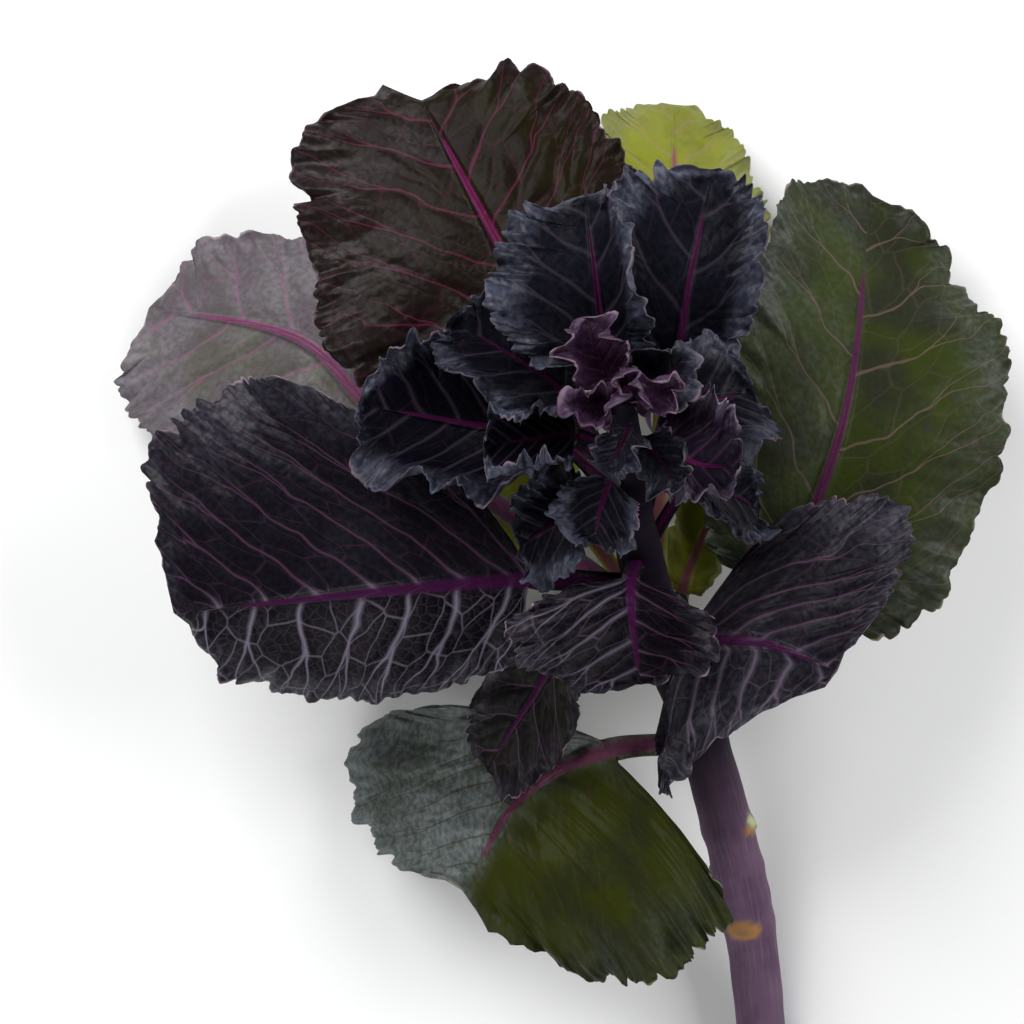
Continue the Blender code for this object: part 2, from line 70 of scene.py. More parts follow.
# Stem centre line from the cut end to the growing tip (x, y, z in mm).
STEM_LINE = [(50, -216, 7.7), (47, -180, 10.5), (42, -148, 18), (32, -111, 31), (21, -80, 47),
             (11, -55, 66), (5, -32, 85), (2, -12, 102), (0, 0, 112)]
STEM_SEGMENTS = 30
STEM_SIDES = 16
CLEAR_OF_STEM = 5.0        # leaves are pressed apart only this far out from the stem, mm
CELL = 1.5                 # cell of the height map used to lay the leaves, mm
MAP_HALF = 260.0           # the height map reaches this far from the growing tip, mm
FREE = 1e6                 # height kept for a cell that no leaf has taken, mm
CLOSE_ENOUGH = 0.05        # overlap of two leaves that calls for no more pressing, mm
TABLE_GAP = 0.4            # clear distance kept between a solid leaf and the table, mm
SINK_ROUND = 3.0           # height over which a sinking leaf turns level with the table, mm
FINE_FLOOR = 0.9           # lowest middle of a finely divided leaf, mm
FINE_ABOVE, FINE_BELOW = 0.8, 0.5  # half thickness of a finely divided leaf with its frills, mm
LARGE_HALF = 24.0          # a leaf wider than this on either side is divided more finely, mm
LARGE_GRID, SMALL_GRID = (210, 44), (110, 26)  # rows and columns of a finely divided blade
FINE_STALK_ROWS = 12       # rows of a finely divided stalk
FINE_RIB_COLUMNS = 5       # columns across half of a finely divided midrib
KEY_PLACE = (-0.55, 0.75, 0.70)   # main light, from the middle of the head, m
SIDE_PLACE = (0.95, 0.35, 0.60)   # second light, m
LOW_PLACE = (-0.35, -0.95, 0.60)  # light from the foot of the stem, m
LAMP_SIZE = 0.8            # m
CAMERA_HEIGHT = 0.74       # above the middle of the head, m
FLOOR_HALF = 3.0           # m


def leaf_row(name, node, rib, half, rise=(0, 0), cup=(0, 0), roll=(0, 0), full=0.6, back=(0.2, 0.2),
             sweep=(0, 0), swell=((), ()), notch=0.05, wave=3.0, waves=5.0, stalk=1.0, seed=1,
             tint="dark", over=None):
    """One leaf.  node: distance of its joint below the growing tip.  rib: points along the midrib.
    half: widths to the left and right of the rib.  rise and cup: degrees each half turns up at the
    rib and bends up further by its edge.  roll: turn about the rib at its base and tip.  full: the
    less, the blunter the leaf's outline.  back: how far each half reaches back past the foot of the
    blade.  sweep: how far each half slants forward.  swell: places along each margin, 0 to 1, with
    the share by which the leaf swells out there.  notch: depth of the notches.  wave and waves:
    height and number of the broad waves.  stalk: thickness of the stalk beside a large leaf's.
    tint: its colours.  over: set where the leaf crosses over the stem."""
    return dict(name=name, node=node, rib=rib, half=half, rise=rise, cup=cup, roll=roll, full=full,
                back=back, sweep=sweep, swell=swell, notch=notch, wave=wave, waves=waves, stalk=stalk,
                seed=seed, tint=tint, over=over)


LEAVES = [
    leaf_row("heart_leaf_1", 1, [(1, 3, 119), (2, 5, 126), (0, 8, 133)], (4, 4),
             rise=(20, 20), cup=(50, 50), stalk=0.3, tint="heart", seed=31),
    leaf_row("heart_leaf_2", 5, [(-5, -1, 112), (-10, -2, 118), (-15, -1, 122)], (6, 6),
             rise=(20, 20), cup=(35, 35), back=(0, 0), stalk=0.35, tint="heart", seed=32),
    leaf_row("heart_leaf_3", 6, [(6, 0, 112), (11, 2, 118), (16, 4, 122)], (6, 6),
             rise=(20, 20), cup=(35, 35), back=(0, 0), stalk=0.35, tint="heart", seed=33),
    leaf_row("heart_leaf_4", 10, [(-3, 6, 110), (-6, 14, 117), (-7, 21, 122)], (9, 8),
             rise=(15, 15), cup=(30, 30), back=(0, 0), stalk=0.4, tint="heart", seed=34),
    leaf_row("heart_leaf_5", 13, [(2, -8, 111), (3, -14, 115), (2, -20, 117)], (7, 8),
             rise=(15, 15), cup=(35, 35), back=(-0.1, -0.1), stalk=0.4, tint="inner", seed=35),
    leaf_row("heart_leaf_6", 15, [(5, 3, 108), (13, 10, 115), (17, 18, 120)], (10, 9),
             rise=(15, 15), cup=(35, 35), stalk=0.5, tint="inner", seed=36),
    leaf_row("heart_leaf_7", 20, [(7, -11, 102), (12, -17, 106), (16, -24, 108)], (9, 9),
             rise=(10, 10), cup=(35, 35), back=(-0.1, -0.1), stalk=0.5, tint="inner", seed=38),
    leaf_row("inner_leaf_cup", 20, [(-12, -9, 104), (-22, -10, 103), (-37, -12, 104)], (20, 20),
             rise=(20, 20), cup=(65, 65), back=(0, -0.3), tint="inner", seed=15, stalk=0.6),
    leaf_row("inner_leaf_plum", 25, [(11, -13, 99), (23, -17, 98), (34, -18, 100)], (26, 12),
             rise=(12, 12), cup=(35, 25), back=(0, 0), tint="plum", seed=16, stalk=0.6),
    leaf_row("inner_leaf_low", 30, [(-2, -22, 100), (-5, -30, 100), (-6, -39, 96)], (13, 14),
             rise=(10, 10), cup=(15, 15), back=(-0.2, -0.2), tint="inner", seed=22, stalk=0.5),
    leaf_row("inner_leaf_top", 29, [(-3, 11, 99), (-6, 33, 106), (-9, 57, 101)], (30, 16),
             rise=(0, 35), cup=(-15, 15), full=0.5, back=(0.1, 0.1), tint="inner", seed=12, stalk=0.8),
    leaf_row("inner_leaf_upper_left", 38, [(-13, 1, 87), (-27, 12, 92), (-46, 23, 91)], (16, 20),
             rise=(15, 15), cup=(10, 10), back=(0, 0), tint="inner", seed=21, stalk=0.5),
    leaf_row("inner_leaf_frill_right", 36, [(16, -4, 90), (27, 1, 90), (38, 3, 84)], (22, 20),
             rise=(15, 15), cup=(10, 10), tint="inner", seed=17, stalk=0.65),
    leaf_row("inner_leaf_left", 42, [(-16, -10, 88), (-43, -5, 84), (-72, 0, 88)], (30, 34),
             rise=(8, 8), cup=(50, 45), full=0.6, back=(0.1, -0.1), tint="inner", seed=14, stalk=0.75),
    leaf_row("inner_leaf_top_right", 48, [(16, 4, 85), (20, 33, 92), (27, 65, 83)], (32, 20),
             rise=(0, 8), full=0.5, back=(0, 0.1), tint="inner", seed=13, stalk=0.75),
    leaf_row("inner_leaf_frill_low", 51, [(-9, -30, 88), (-17, -33, 88), (-27, -40, 82)], (16, 16),
             rise=(10, 10), tint="inner", seed=19, stalk=0.55),
    leaf_row("inner_leaf_frill_side", 56, [(21, -22, 81), (31, -24, 78), (42, -30, 70)], (14, 14),
             rise=(10, 10), tint="inner", seed=20, stalk=0.6),
    leaf_row("front_leaf_centre", 55, [(4, -49, 91), (4, -60, 96), (7, -79, 84)], (24, 36),
             rise=(-6, -4), cup=(-12, -10), full=0.5, back=(-0.2, -0.2), tint="dark", seed=18, stalk=0.7),
    leaf_row("front_leaf_left", 68, [(-25, -49, 76), (-72, -53, 78), (-125, -59, 60)], (38, 64),
             rise=(-18, 6), cup=(-30, -6), full=0.5, back=(0.1, -0.75), sweep=(0, 0.18),
             swell=(((0.85, -0.06),), ((0.9, 0.05),)), tint="dark", seed=4),
    leaf_row("outer_leaf_top_left", 61, [(-19, 18, 82), (-36, 52, 74), (-56, 91, 56)], (56, 45),
             rise=(4, 4), cup=(-10, -10), full=0.5, back=(0.25, 0.1), sweep=(-0.1, -0.1),
             swell=(((0.93, 0.2), (0.72, -0.05)), ((0.8, 0.03),)), tint="brown", seed=2),
    leaf_row("front_leaf_right", 88, [(23, -66, 72), (42, -67, 82), (63, -75, 76)], (52, 46),
             rise=(0, -4), cup=(-12, -8), full=0.5, back=(0, 0), sweep=(0.55, -1.2), tint="dark", seed=6,
             over=1),
    leaf_row("outer_leaf_right", 104, [(48, -52, 48), (68, -2, 52), (81, 65, 14)], (36, 50),
             rise=(6, 4), cup=(-14, -14), full=0.5, back=(0.1, 0.1), sweep=(0, -0.06),
             swell=(((0.88, 0.05),), ((0.12, 0.06), (0.8, -0.04))), tint="green", seed=5),
    leaf_row("hanging_leaf", 100, [(-13, -73, 58), (-24, -86, 52), (-37, -108, 38)], (17, 17),
             back=(0.1, 0), tint="dark", seed=11, stalk=0.6),
    leaf_row("outer_leaf_bottom", 128, [(-2, -100, 58), (-27, -116, 55), (-43, -142, 36)], (66, 50),
             rise=(2, -4), cup=(-10, -18), full=0.5, back=(0.1, 0.1), sweep=(-0.25, 0.95),
             swell=(((0.12, 0.3), (0.85, 0.1)), ((0.38, 0.25),)), tint="olive", seed=7, over=1),
    leaf_row("outer_leaf_left", 82, [(-65, -4, 42), (-93, 22, 34), (-141, 33, 8)], (46, 32),
             cup=(-10, -10), full=0.5, back=(0.1, 0.1), tint="grey", seed=3),
    leaf_row("under_leaf_left", 92, [(-15, -28, 44), (-42, -30, 34), (-72, -32, 20)], (25, 25),
             tint="yellow", seed=9, stalk=0.8),
    leaf_row("outer_leaf_back", 74, [(17, 18, 44), (20, 57, 26), (21, 97, 5)], (30, 31),
             full=0.5, swell=((), ((0.8, -0.15),)), tint="yellow", seed=8),
    leaf_row("under_leaf_right", 98, [(21, -53, 48), (27, -38, 42), (36, -17, 34)], (10, 10),
             tint="yellow", seed=10, stalk=0.7),
]


def look_row(quilt=0.7, frill=1.6, fine=0.7, veins=6, bloom_and_sheen=(0.4, 0.4), pale=(0.1, 0.1), green=(0.0, 0.0),
             puff=(0, 0), lean=(0.85, 0.85), teeth=1.0, cup=(0, 0), wider=1.0, lift=(0, 0, 0), rim=0.35):
    """How one leaf looks.  quilt, frill, fine: heights of its swells and frills in mm.  veins: side
    veins in each half.  bloom and sheen, pale, green, puff: waxy bloom with painted sheen laid in
    its colour, pale vein net, greenness and blisters of the left and right half.  lean: how far
    forward its side veins lean.  cup, wider and lift: how much more than its solid the leaf cups,
    how much wider it is, and how far its tip moves.  teeth and rim: depth of the margin's teeth, and
    how strongly painted sheen, in the bloom colour, gathers along the lit margin."""
    return dict(quilt=quilt, frill=frill, fine=fine, veins=veins, bloom_and_sheen=bloom_and_sheen, pale=pale, green=green,
                puff=puff, lean=lean, teeth=teeth, cup=cup, wider=wider, lift=np.array(lift, float), rim=rim)


LOOKS = {
    "outer_leaf_top_left": look_row(quilt=0.5, veins=5, bloom_and_sheen=(0.3, 0.1), green=(0.35, 0.7), puff=(0.4, 1.0),
                                    lean=(1.0, 0.9), frill=2.6, fine=1.2, pale=(0, 0), rim=0.2),
    "outer_leaf_left": look_row(quilt=1.0, veins=5, bloom_and_sheen=(0.9, 0.7), green=(0.6, 0.2), frill=2.0, fine=0.9),
    # The raised bloom of its left half is partly grey wax, partly painted sheen along that edge.
    "outer_leaf_right": look_row(quilt=0.5, veins=6, bloom_and_sheen=(0.5, 0.15), green=(0.9, 0.8), lean=(1.0, 0.9),
                                 frill=2.6, fine=1.2, pale=(0, 0), rim=0.35),
    # The strong bloom of its right half is partly grey wax, partly a painted reflection of the sky on that
    # flat part.
    "outer_leaf_bottom": look_row(quilt=0.5, veins=6, bloom_and_sheen=(0.03, 1.15), green=(1.0, 0.4), lean=(0.7, 0.7),
                                  frill=2.6, fine=1.2, pale=(0, 0), rim=0.12),
    "outer_leaf_back": look_row(quilt=0.5, veins=7, bloom_and_sheen=(0.3, 0.3), green=(1, 1)),
    "front_leaf_left": look_row(quilt=0.5, veins=7, bloom_and_sheen=(0.10, 0.22), pale=(0.95, 0.05), lean=(0.25, 0.9),
                                frill=2.0, fine=1.0),
    # The bloom and pale veins of its right half are raised as painted sheen.
    "front_leaf_right": look_row(quilt=0.7, frill=2.6, fine=1.2, veins=5, bloom_and_sheen=(0.3, 0.6), pale=(0.1, 0.45)),
    "front_leaf_centre": look_row(quilt=0.8, veins=4, bloom_and_sheen=(0.03, 0.15), pale=(0.03, 0.5), frill=2.6,
                                  fine=1.3, lean=(0.6, 0.6)),
    "hanging_leaf": look_row(veins=4, bloom_and_sheen=(0.1, 0.1), green=(0.5, 0.4)),
    "under_leaf_left": look_row(veins=4, bloom_and_sheen=(0.1, 0.1), green=(1, 1)),
    "under_leaf_right": look_row(veins=4, bloom_and_sheen=(0.1, 0.1), green=(1, 1)),
    "inner_leaf_cup": look_row(quilt=0.3, frill=2.0, fine=1.8, bloom_and_sheen=(0.15, 0.15), rim=1.1, cup=(40, 40),
                               wider=1.15),
    "inner_leaf_left": look_row(quilt=0.3, frill=2.6, fine=1.8, bloom_and_sheen=(0.1, 0.1), rim=1.0, cup=(25, 25)),
    "heart_leaf_1": look_row(quilt=0.2, frill=1.0, fine=1.2, veins=3, wider=1.9, cup=(45, 45), teeth=0.8,
                             rim=0.9),
    "heart_leaf_2": look_row(quilt=0.2, frill=1.6, fine=1.0, veins=3, wider=1.5, cup=(35, 35)),
    "heart_leaf_3": look_row(quilt=0.2, frill=1.6, fine=1.0, veins=3, wider=1.5, cup=(35, 35)),
}
# Heart leaves from the fourth on: number, how much wider, degrees of cup, and how far the tip moves.
HEART_SIZES = ((4, 1.45, 40, (-2, 1, -3)), (5, 1.35, 35, (-7, 1, -3)), (6, 1.4, 35, (1, -5, -3)),
               (7, 1.2, 25, (0, 0, 0)))
for number, wider, cup, lift in HEART_SIZES:
    LOOKS["heart_leaf_%d" % number] = look_row(quilt=0.3, frill=2.0, fine=1.2, veins=4, wider=wider,
                                               cup=(cup, cup), lift=lift)
# Looks of the other inner and heart leaves.
INNER_LOOK = look_row(quilt=0.35, frill=3.0, fine=2.0, veins=4, bloom_and_sheen=(0.3, 0.3), teeth=1.4, rim=0.95,
                      cup=(12, 12))
HEART_LOOK = look_row(quilt=0.2, frill=1.8, fine=1.5, veins=4, bloom_and_sheen=(0.3, 0.3), teeth=1.4, rim=0.8)

# Colours of each kind of leaf: blade, blade where green, veins, midrib, bloom (also laid as painted
# sheen) and edge (partly painted rim light), and the share of the light that shines through.
TINTS = {
    "dark": dict(blade=(0.0026, 0.0018, 0.0034), leafy=(0.012, 0.014, 0.004), veins=(0.062, 0.020, 0.052),
                 rib=(0.038, 0.004, 0.034), bloom_and_sheen=(0.066, 0.064, 0.092), edge=(0.26, 0.18, 0.23), thin=0.03),
    "inner": dict(blade=(0.0014, 0.0012, 0.0032), leafy=(0.01, 0.012, 0.006), veins=(0.016, 0.0025, 0.012),
                  rib=(0.042, 0.004, 0.030), bloom_and_sheen=(0.088, 0.098, 0.150), edge=(0.13, 0.09, 0.12), thin=0.02),
    "heart": dict(blade=(0.012, 0.0012, 0.0075), leafy=(0.02, 0.02, 0.01), veins=(0.030, 0.005, 0.024),
                  rib=(0.050, 0.006, 0.036), bloom_and_sheen=(0.135, 0.080, 0.165), edge=(0.20, 0.13, 0.18), thin=0.04),
    "plum": dict(blade=(0.012, 0.007, 0.017), leafy=(0.03, 0.03, 0.02), veins=(0.08, 0.012, 0.06),
                 rib=(0.14, 0.012, 0.09), bloom_and_sheen=(0.13, 0.11, 0.17), edge=(0.20, 0.15, 0.19), thin=0.04),
    "brown": dict(blade=(0.0070, 0.0028, 0.0032), leafy=(0.011, 0.0105, 0.0016), veins=(0.085, 0.012, 0.036),
                  rib=(0.10, 0.005, 0.048), bloom_and_sheen=(0.026, 0.019, 0.023), edge=(0.14, 0.10, 0.12), thin=0.05),
    "grey": dict(blade=(0.095, 0.072, 0.090), leafy=(0.075, 0.085, 0.035), veins=(0.25, 0.08, 0.16),
                 rib=(0.20, 0.05, 0.13), bloom_and_sheen=(0.21, 0.20, 0.235), edge=(0.32, 0.29, 0.30), thin=0.1),
    "green": dict(blade=(0.015, 0.0145, 0.0125), leafy=(0.028, 0.040, 0.004), veins=(0.12, 0.078, 0.066),
                  rib=(0.08, 0.012, 0.056), bloom_and_sheen=(0.085, 0.098, 0.098), edge=(0.24, 0.21, 0.18), thin=0.1),
    "olive": dict(blade=(0.013, 0.015, 0.008), leafy=(0.026, 0.031, 0.002), veins=(0.034, 0.030, 0.008),
                  rib=(0.10, 0.022, 0.055), bloom_and_sheen=(0.16, 0.19, 0.20), edge=(0.24, 0.24, 0.17), thin=0.12),
    "yellow": dict(blade=(0.15, 0.16, 0.022), leafy=(0.26, 0.29, 0.022), veins=(0.34, 0.20, 0.13),
                   rib=(0.30, 0.09, 0.13), bloom_and_sheen=(0.34, 0.35, 0.28), edge=(0.36, 0.36, 0.26), thin=0.3),
}


def smooth_line(points, count):
    """A smooth curve through the points, evenly spaced along its length, and that length."""
    points = np.asarray(points, float)
    padded = np.vstack([2 * points[0] - points[1], points, 2 * points[-1] - points[-2]])
    fine = []
    for i in range(len(points) - 1):
        a, b, c, d = padded[i:i + 4]
        t = np.linspace(0, 1, 24, endpoint=False)[:, None]
        fine.append(0.5 * (2 * b + (c - a) * t + (2 * a - 5 * b + 4 * c - d) * t**2
                           + (3 * b - a - 3 * c + d) * t**3))
    fine = np.vstack(fine + [points[-1:]])
    along = np.concatenate([[0], np.cumsum(np.linalg.norm(np.diff(fine, axis=0), axis=1))])
    at = np.linspace(0, along[-1], count)
    return np.stack([np.interp(at, along, fine[:, k]) for k in range(3)], axis=1), along[-1]


def placed(points):
    """Design points turned into real ones for the chosen head width and height."""
    return np.asarray(points, float) * (SPREAD, SPREAD, LIFT)


def along_line(line, at, length):
    """Points of an evenly spaced line at the given distances along its length."""
    steps = np.linspace(0, length, len(line))
    return np.stack([np.interp(at, steps, line[:, k]) for k in range(3)], axis=-1)


STEM, STEM_LENGTH = smooth_line(placed(STEM_LINE), 240)


def stem_radius(along):
    """Radius at a share of the way from the cut end to the growing tip."""
    share = np.asarray(along)
    return STEM_DIAMETER / 2 * (0.93 + 0.07 * np.sin(math.pi * np.clip(share / 0.6, 0, 1))
                                - 0.45 * np.clip((share - 0.6) / 0.4, 0, 1) ** 1.3)


def stem_point(below_tip):
    """Centre of the stem at a distance below the growing tip."""
    return along_line(STEM, STEM_LENGTH - below_tip, STEM_LENGTH)


def rib_frames(leaf, fine=False, count=64):
    """Points, tangents, side vectors and upper normals along the midrib, its length and stalk length."""
    centre = stem_point(leaf["node"] * SPREAD)
    collar = placed(leaf["rib"])[0]
    start = centre + (collar - centre) / np.linalg.norm(collar - centre) * 0.2 * STEM_DIAMETER
    points = np.vstack([start, placed(leaf["rib"])])
    if fine:
        points[2:] += look_of(leaf)["lift"] * np.linspace(0, 1, len(points) - 1)[1:, None]
    line, length = smooth_line(points, count)
    stalk = length * np.argmin(np.linalg.norm(line - points[1], axis=1)) / (count - 1)
    tangent = np.gradient(line, axis=0)
    tangent /= np.linalg.norm(tangent, axis=1)[:, None]
    overall = (line[-1] - line[0]) * (1, 1, 0)
    flat = tangent * (1, 1, 0) + 2.5 * overall / np.linalg.norm(overall)
    side = np.stack([-flat[:, 1], flat[:, 0], np.zeros(count)], axis=1)
    side /= np.linalg.norm(side, axis=1)[:, None]
    normal = np.cross(tangent, side)
    normal /= np.linalg.norm(normal, axis=1)[:, None]
    roll = np.radians(np.linspace(leaf["roll"][0], leaf["roll"][1], count))[:, None]
    turned = side * np.cos(roll) + normal * np.sin(roll)
    return line, tangent, turned, normal * np.cos(roll) - side * np.sin(roll), length, stalk


def margin_teeth(leaf, u, left, reach):
    """Share by which the lobed, toothed and notched margin of a finely built half draws in."""
    rng = np.random.default_rng(leaf["seed"] * 11 + (5 if left else 2))
    total = np.zeros_like(u)
    size = min(1.0, max(0.42, max(leaf["half"]) / 36))
    for length, depth in ((24.0, 2.2), (9.5, 1.4), (4.2, 0.7)):
        drift = 0.5 * np.sin(2 * math.pi * (u * 2.3 + rng.uniform())) + 0.25 * np.sin(2 * math.pi * u * 6.7)
        place = u * reach / length / size * rng.uniform(0.9, 1.1) + rng.uniform() + drift
        lobes = np.abs(np.sin(math.pi * place))
        strength = 0.45 + 0.9 * np.sin(math.pi * (u * 4.3 + rng.uniform())) ** 2
        total = total + size * depth * (0.75 - lobes ** 0.75) * strength
    for _ in range(2):
        at = rng.uniform(0.15, 0.9)
        total = total + size * rng.uniform(2.0, 4.5) * np.exp(-((u - at) / 0.014) ** 2)
    ends = np.minimum(1, np.sin(math.pi * u) * 6)
    return look_of(leaf)["teeth"] * total / max(max(leaf["half"]), 12) * ends


def vein_lines(a, b, blade, width, count, lean, left):
    """Number of the side vein at each place of the flat half, and the distance between two veins.

    The veins leave the rib leaning forward, and fan out from its foot below the first of them."""
    ahead = a - 0.25 * b**2 / width
    start = ahead - lean * b
    share = np.clip(start / blade, 1e-3, None)
    later = (0.0 if left else 0.3) * np.clip(share * 4, 0, 1)
    fan = 0.5
    turn = (np.arctan2(b, ahead) - math.atan(1 / lean)) / fan
    number = np.where(start > 0, count * share ** 0.9 + later, -turn)
    gap = np.where(start > 0, blade / (count * 0.9 * share ** -0.1) / math.hypot(1, lean),
                   fan * np.hypot(ahead, b))
    return number, gap


def half_outline(leaf, u, left, stalk, blade, width, fine):
    """Margin of one half of the flat leaf: distance along the rib and distance out from it."""
    angle = math.pi * u
    along = stalk + blade * (1 - np.cos(angle)) / 2
    along = along - leaf["back"][0 if left else 1] * width * np.sin(angle) * (1 - u) ** 1.5
    out = width * np.sin(angle) ** leaf["full"]
    rng = np.random.default_rng(leaf["seed"] * 7 + (3 if left else 0))
    shrink = 0.03 * np.sin(2 * math.pi * (u * 2.3 + rng.uniform())) * np.sin(angle)
    for k in range(6):
        depth = leaf["notch"] * rng.uniform(0.3, 1.6) * (0.5 if fine else 1.0)
        centre = (k + 0.5 + rng.uniform(-0.2, 0.2)) / 6
        shrink = shrink + depth * np.exp(-((u - centre) / 0.02) ** 2)
    for place, size in leaf["swell"][0 if left else 1]:
        shrink = shrink - size * np.exp(-((u - place) / 0.13) ** 2)
    if fine:
        shrink = shrink + margin_teeth(leaf, u, left, blade + 1.6 * width)
    middle = stalk + 0.35 * blade
    return middle + (along - middle) * (1 - shrink), out * (1 - shrink)


def look_of(leaf):
    """The look of a leaf: its own row, or the one for its kind."""
    return LOOKS.get(leaf["name"], HEART_LOOK if leaf["tint"] == "heart" else INNER_LOOK)


def rib_radius(leaf, a, stalk, blade):
    """Half width of the stalk and midrib at each distance along them."""
    share = np.clip((a - stalk) / blade, 0, 1)
    base = PETIOLE_RADIUS * leaf["stalk"]
    return base * (1 + 0.35 * np.exp(-a / 8)) * (1 - 0.88 * share) ** 1.1 + 0.15


def flat_half(leaf, left, stalk, blade, width, grid, fine):
    """One half of the flat leaf: distances along and out from the rib, the share of the way out to
    the margin, and the lines of the midrib and of the margin themselves."""
    stalk_shares, us, v, rib_column = grid
    round_share = np.sin(math.pi / 2 * v)[None, :]
    rib_share = np.minimum(v / rib_column, 1)[None, :]
    blade_share = np.clip((v - rib_column) / (1 - rib_column), 0, 1)[None, :]
    stalk_a = np.repeat(stalk * stalk_shares[:, None], len(v), 1)
    stalk_b = rib_radius(leaf, stalk_a, stalk, blade) * round_share
    edge_a, edge_b = half_outline(leaf, us, left, stalk, blade, width, fine)
    rib_a = stalk + 0.93 * blade * us ** 1.25
    base = PETIOLE_RADIUS * leaf["stalk"]
    edge_b = np.where(us < 0.5, np.sqrt(edge_b**2 + base**2), edge_b)
    edge_b[-1] = 0
    opening = np.clip(us / 0.08, 0, 1)[:, None]
    inner = np.minimum(rib_radius(leaf, rib_a, stalk, blade), edge_b)[:, None]
    blade_b = inner * ((1 - opening) * round_share + opening * rib_share)
    blade_b = blade_b + (edge_b[:, None] - inner) * blade_share * opening
    share = np.where(edge_b[:, None] > 1e-6, blade_b / np.maximum(edge_b[:, None], 1e-6), v[None, :])
    bow = (rib_a + edge_a)[:, None] / 2 - 0.1 * edge_b[:, None]
    blade_a = (1 - share)**2 * rib_a[:, None] + 2 * share * (1 - share) * bow + share**2 * edge_a[:, None]
    return np.vstack([stalk_a, blade_a]), np.vstack([stalk_b, blade_b]), share, rib_a, edge_a, edge_b


def cupped(b, width, rise, cup):
    """Slope, distance across and height of a half that turns up at the rib and on towards its edge."""
    turn = rise + cup * b / width
    if abs(cup) < 1e-4:
        return turn, b * math.cos(rise), b * math.sin(rise)
    across = width / cup * (np.sin(turn) - math.sin(rise))
    return turn, across, width / cup * (math.cos(rise) - np.cos(turn))


def margin_waves(leaf, left, count, us, far):
    """Height of the broad waves that grow towards the margin."""
    round_edge = np.concatenate([np.zeros(count), us if left else 2 - us])[:, None]
    if not left:
        round_edge[:count] = 2
    ramp = np.clip((far - 0.35) / 0.65, 0, 1) ** 1.6
    phase = np.random.default_rng(leaf["seed"]).uniform(0, 2 * math.pi, 2)
    swell = (np.sin(math.pi * leaf["waves"] * round_edge + phase[0])
             + 0.6 * np.sin(math.pi * leaf["waves"] * 1.7 * round_edge + phase[1]))
    return 0.65 * leaf["wave"] * ramp * swell


def leaf_half(leaf, left, frames, grid, fine):
    """One half of a leaf's sheet, bent to shape, with its upper normals and its measures."""
    line, tangent, side, normal, length, stalk = frames
    blade = length - stalk
    look = look_of(leaf)
    pick = 0 if left else 1
    sign = 1 if left else -1
    width = leaf["half"][pick] * SPREAD * (look["wider"] if fine else 1)
    rise = math.radians(leaf["rise"][pick])
    cup = math.radians(leaf["cup"][pick] + (look["cup"][pick] if fine else 0))
    a, b, share, rib_a, edge_a, edge_b = flat_half(leaf, left, stalk, blade, width, grid, fine)
    number, gap = vein_lines(a - stalk, b, blade, width, look["veins"], look["lean"][pick], left)
    a = a + leaf["sweep"][pick] * np.maximum(b - PETIOLE_RADIUS * leaf["stalk"], 0)
    turn, across, up = cupped(b, width, rise, cup)
    beyond = np.maximum(a - length, 0)[..., None] * tangent[-1]
    n = along_line(normal, a, length)
    s = along_line(side, a, length) * sign
    points = along_line(line, a, length) + beyond + s * across[..., None] + n * up[..., None]
    face = n * np.cos(turn)[..., None] - s * np.sin(turn)[..., None]
    on_stalk = np.zeros((len(grid[0]), len(grid[2])))
    far = np.vstack([on_stalk, share])
    points = points + face * margin_waves(leaf, left, len(on_stalk), grid[1], far)[..., None]
    radius = rib_radius(leaf, a, stalk, blade)
    bulge = radius * np.sqrt(np.clip(1 - (b / radius) ** 2, 0, 1))
    fading = 1 - eased(a, stalk + 0.72 * blade, stalk + 0.92 * blade)
    to_edge = (1 - share) * np.hypot(edge_a - rib_a, edge_b)[:, None] * 0.8
    rim = np.cumsum(np.hypot(np.gradient(edge_a), np.gradient(edge_b)))
    rim = np.concatenate([np.zeros(len(on_stalk)), rim])[:, None] + np.zeros_like(a)
    puffy = look["puff"][pick] * np.exp(-(np.clip(a - stalk, 0, None) / (0.5 * blade)) ** 2)
    return dict(points=points, face=face, above=0.4 * bulge, below=0.95 * bulge,
                flat=np.stack([a, sign * b, np.zeros_like(a)], axis=-1), across=far,
                veins=number, spacing=gap, edge=np.vstack([on_stalk + 20.0, to_edge]),
                margin=rim + (0 if left else 500),
                rib=np.clip(1.2 - b / (radius + 0.1), 0, 1) * fading, signed=sign * b, puff=puffy,
                out=np.clip((a - stalk) / blade, 0, 1) ** 2 * 0.5 + 0.5 * far ** 2,
                stalk=np.vstack([on_stalk + 1, np.zeros_like(share)]))


def leaf_surface(leaf, grid, fine=False):
    """Points midway through the leaf, with its upper normals and its measures.

    The grid is the shares along the stalk, along the blade and across a half, and the share across
    at which the midrib ends."""
    frames = rib_frames(leaf, fine)
    one, other = [leaf_half(leaf, left, frames, grid, fine) for left in (True, False)]
    return {key: np.concatenate([one[key][:, :0:-1], other[key]], axis=1) for key in one}


def is_large(leaf):
    """Whether a leaf is divided more finely."""
    return max(leaf["half"]) > LARGE_HALF


def coarse_counts(leaf):
    """Rows along the stalk, rows along the blade and columns across each half of the coarse sheet."""
    return (STALK_ROWS, 10, 4) if is_large(leaf) else (2, 7, 3)


def coarse_surface(leaf):
    """The sheet exactly as the solid has it."""
    stalk_rows, rows, columns = coarse_counts(leaf)
    shares = np.linspace(0, 1, stalk_rows + 1)[:-1]
    across = np.arange(columns + 1) / columns
    return leaf_surface(leaf, (shares, np.linspace(0, 1, rows + 1), across, 1 / columns))


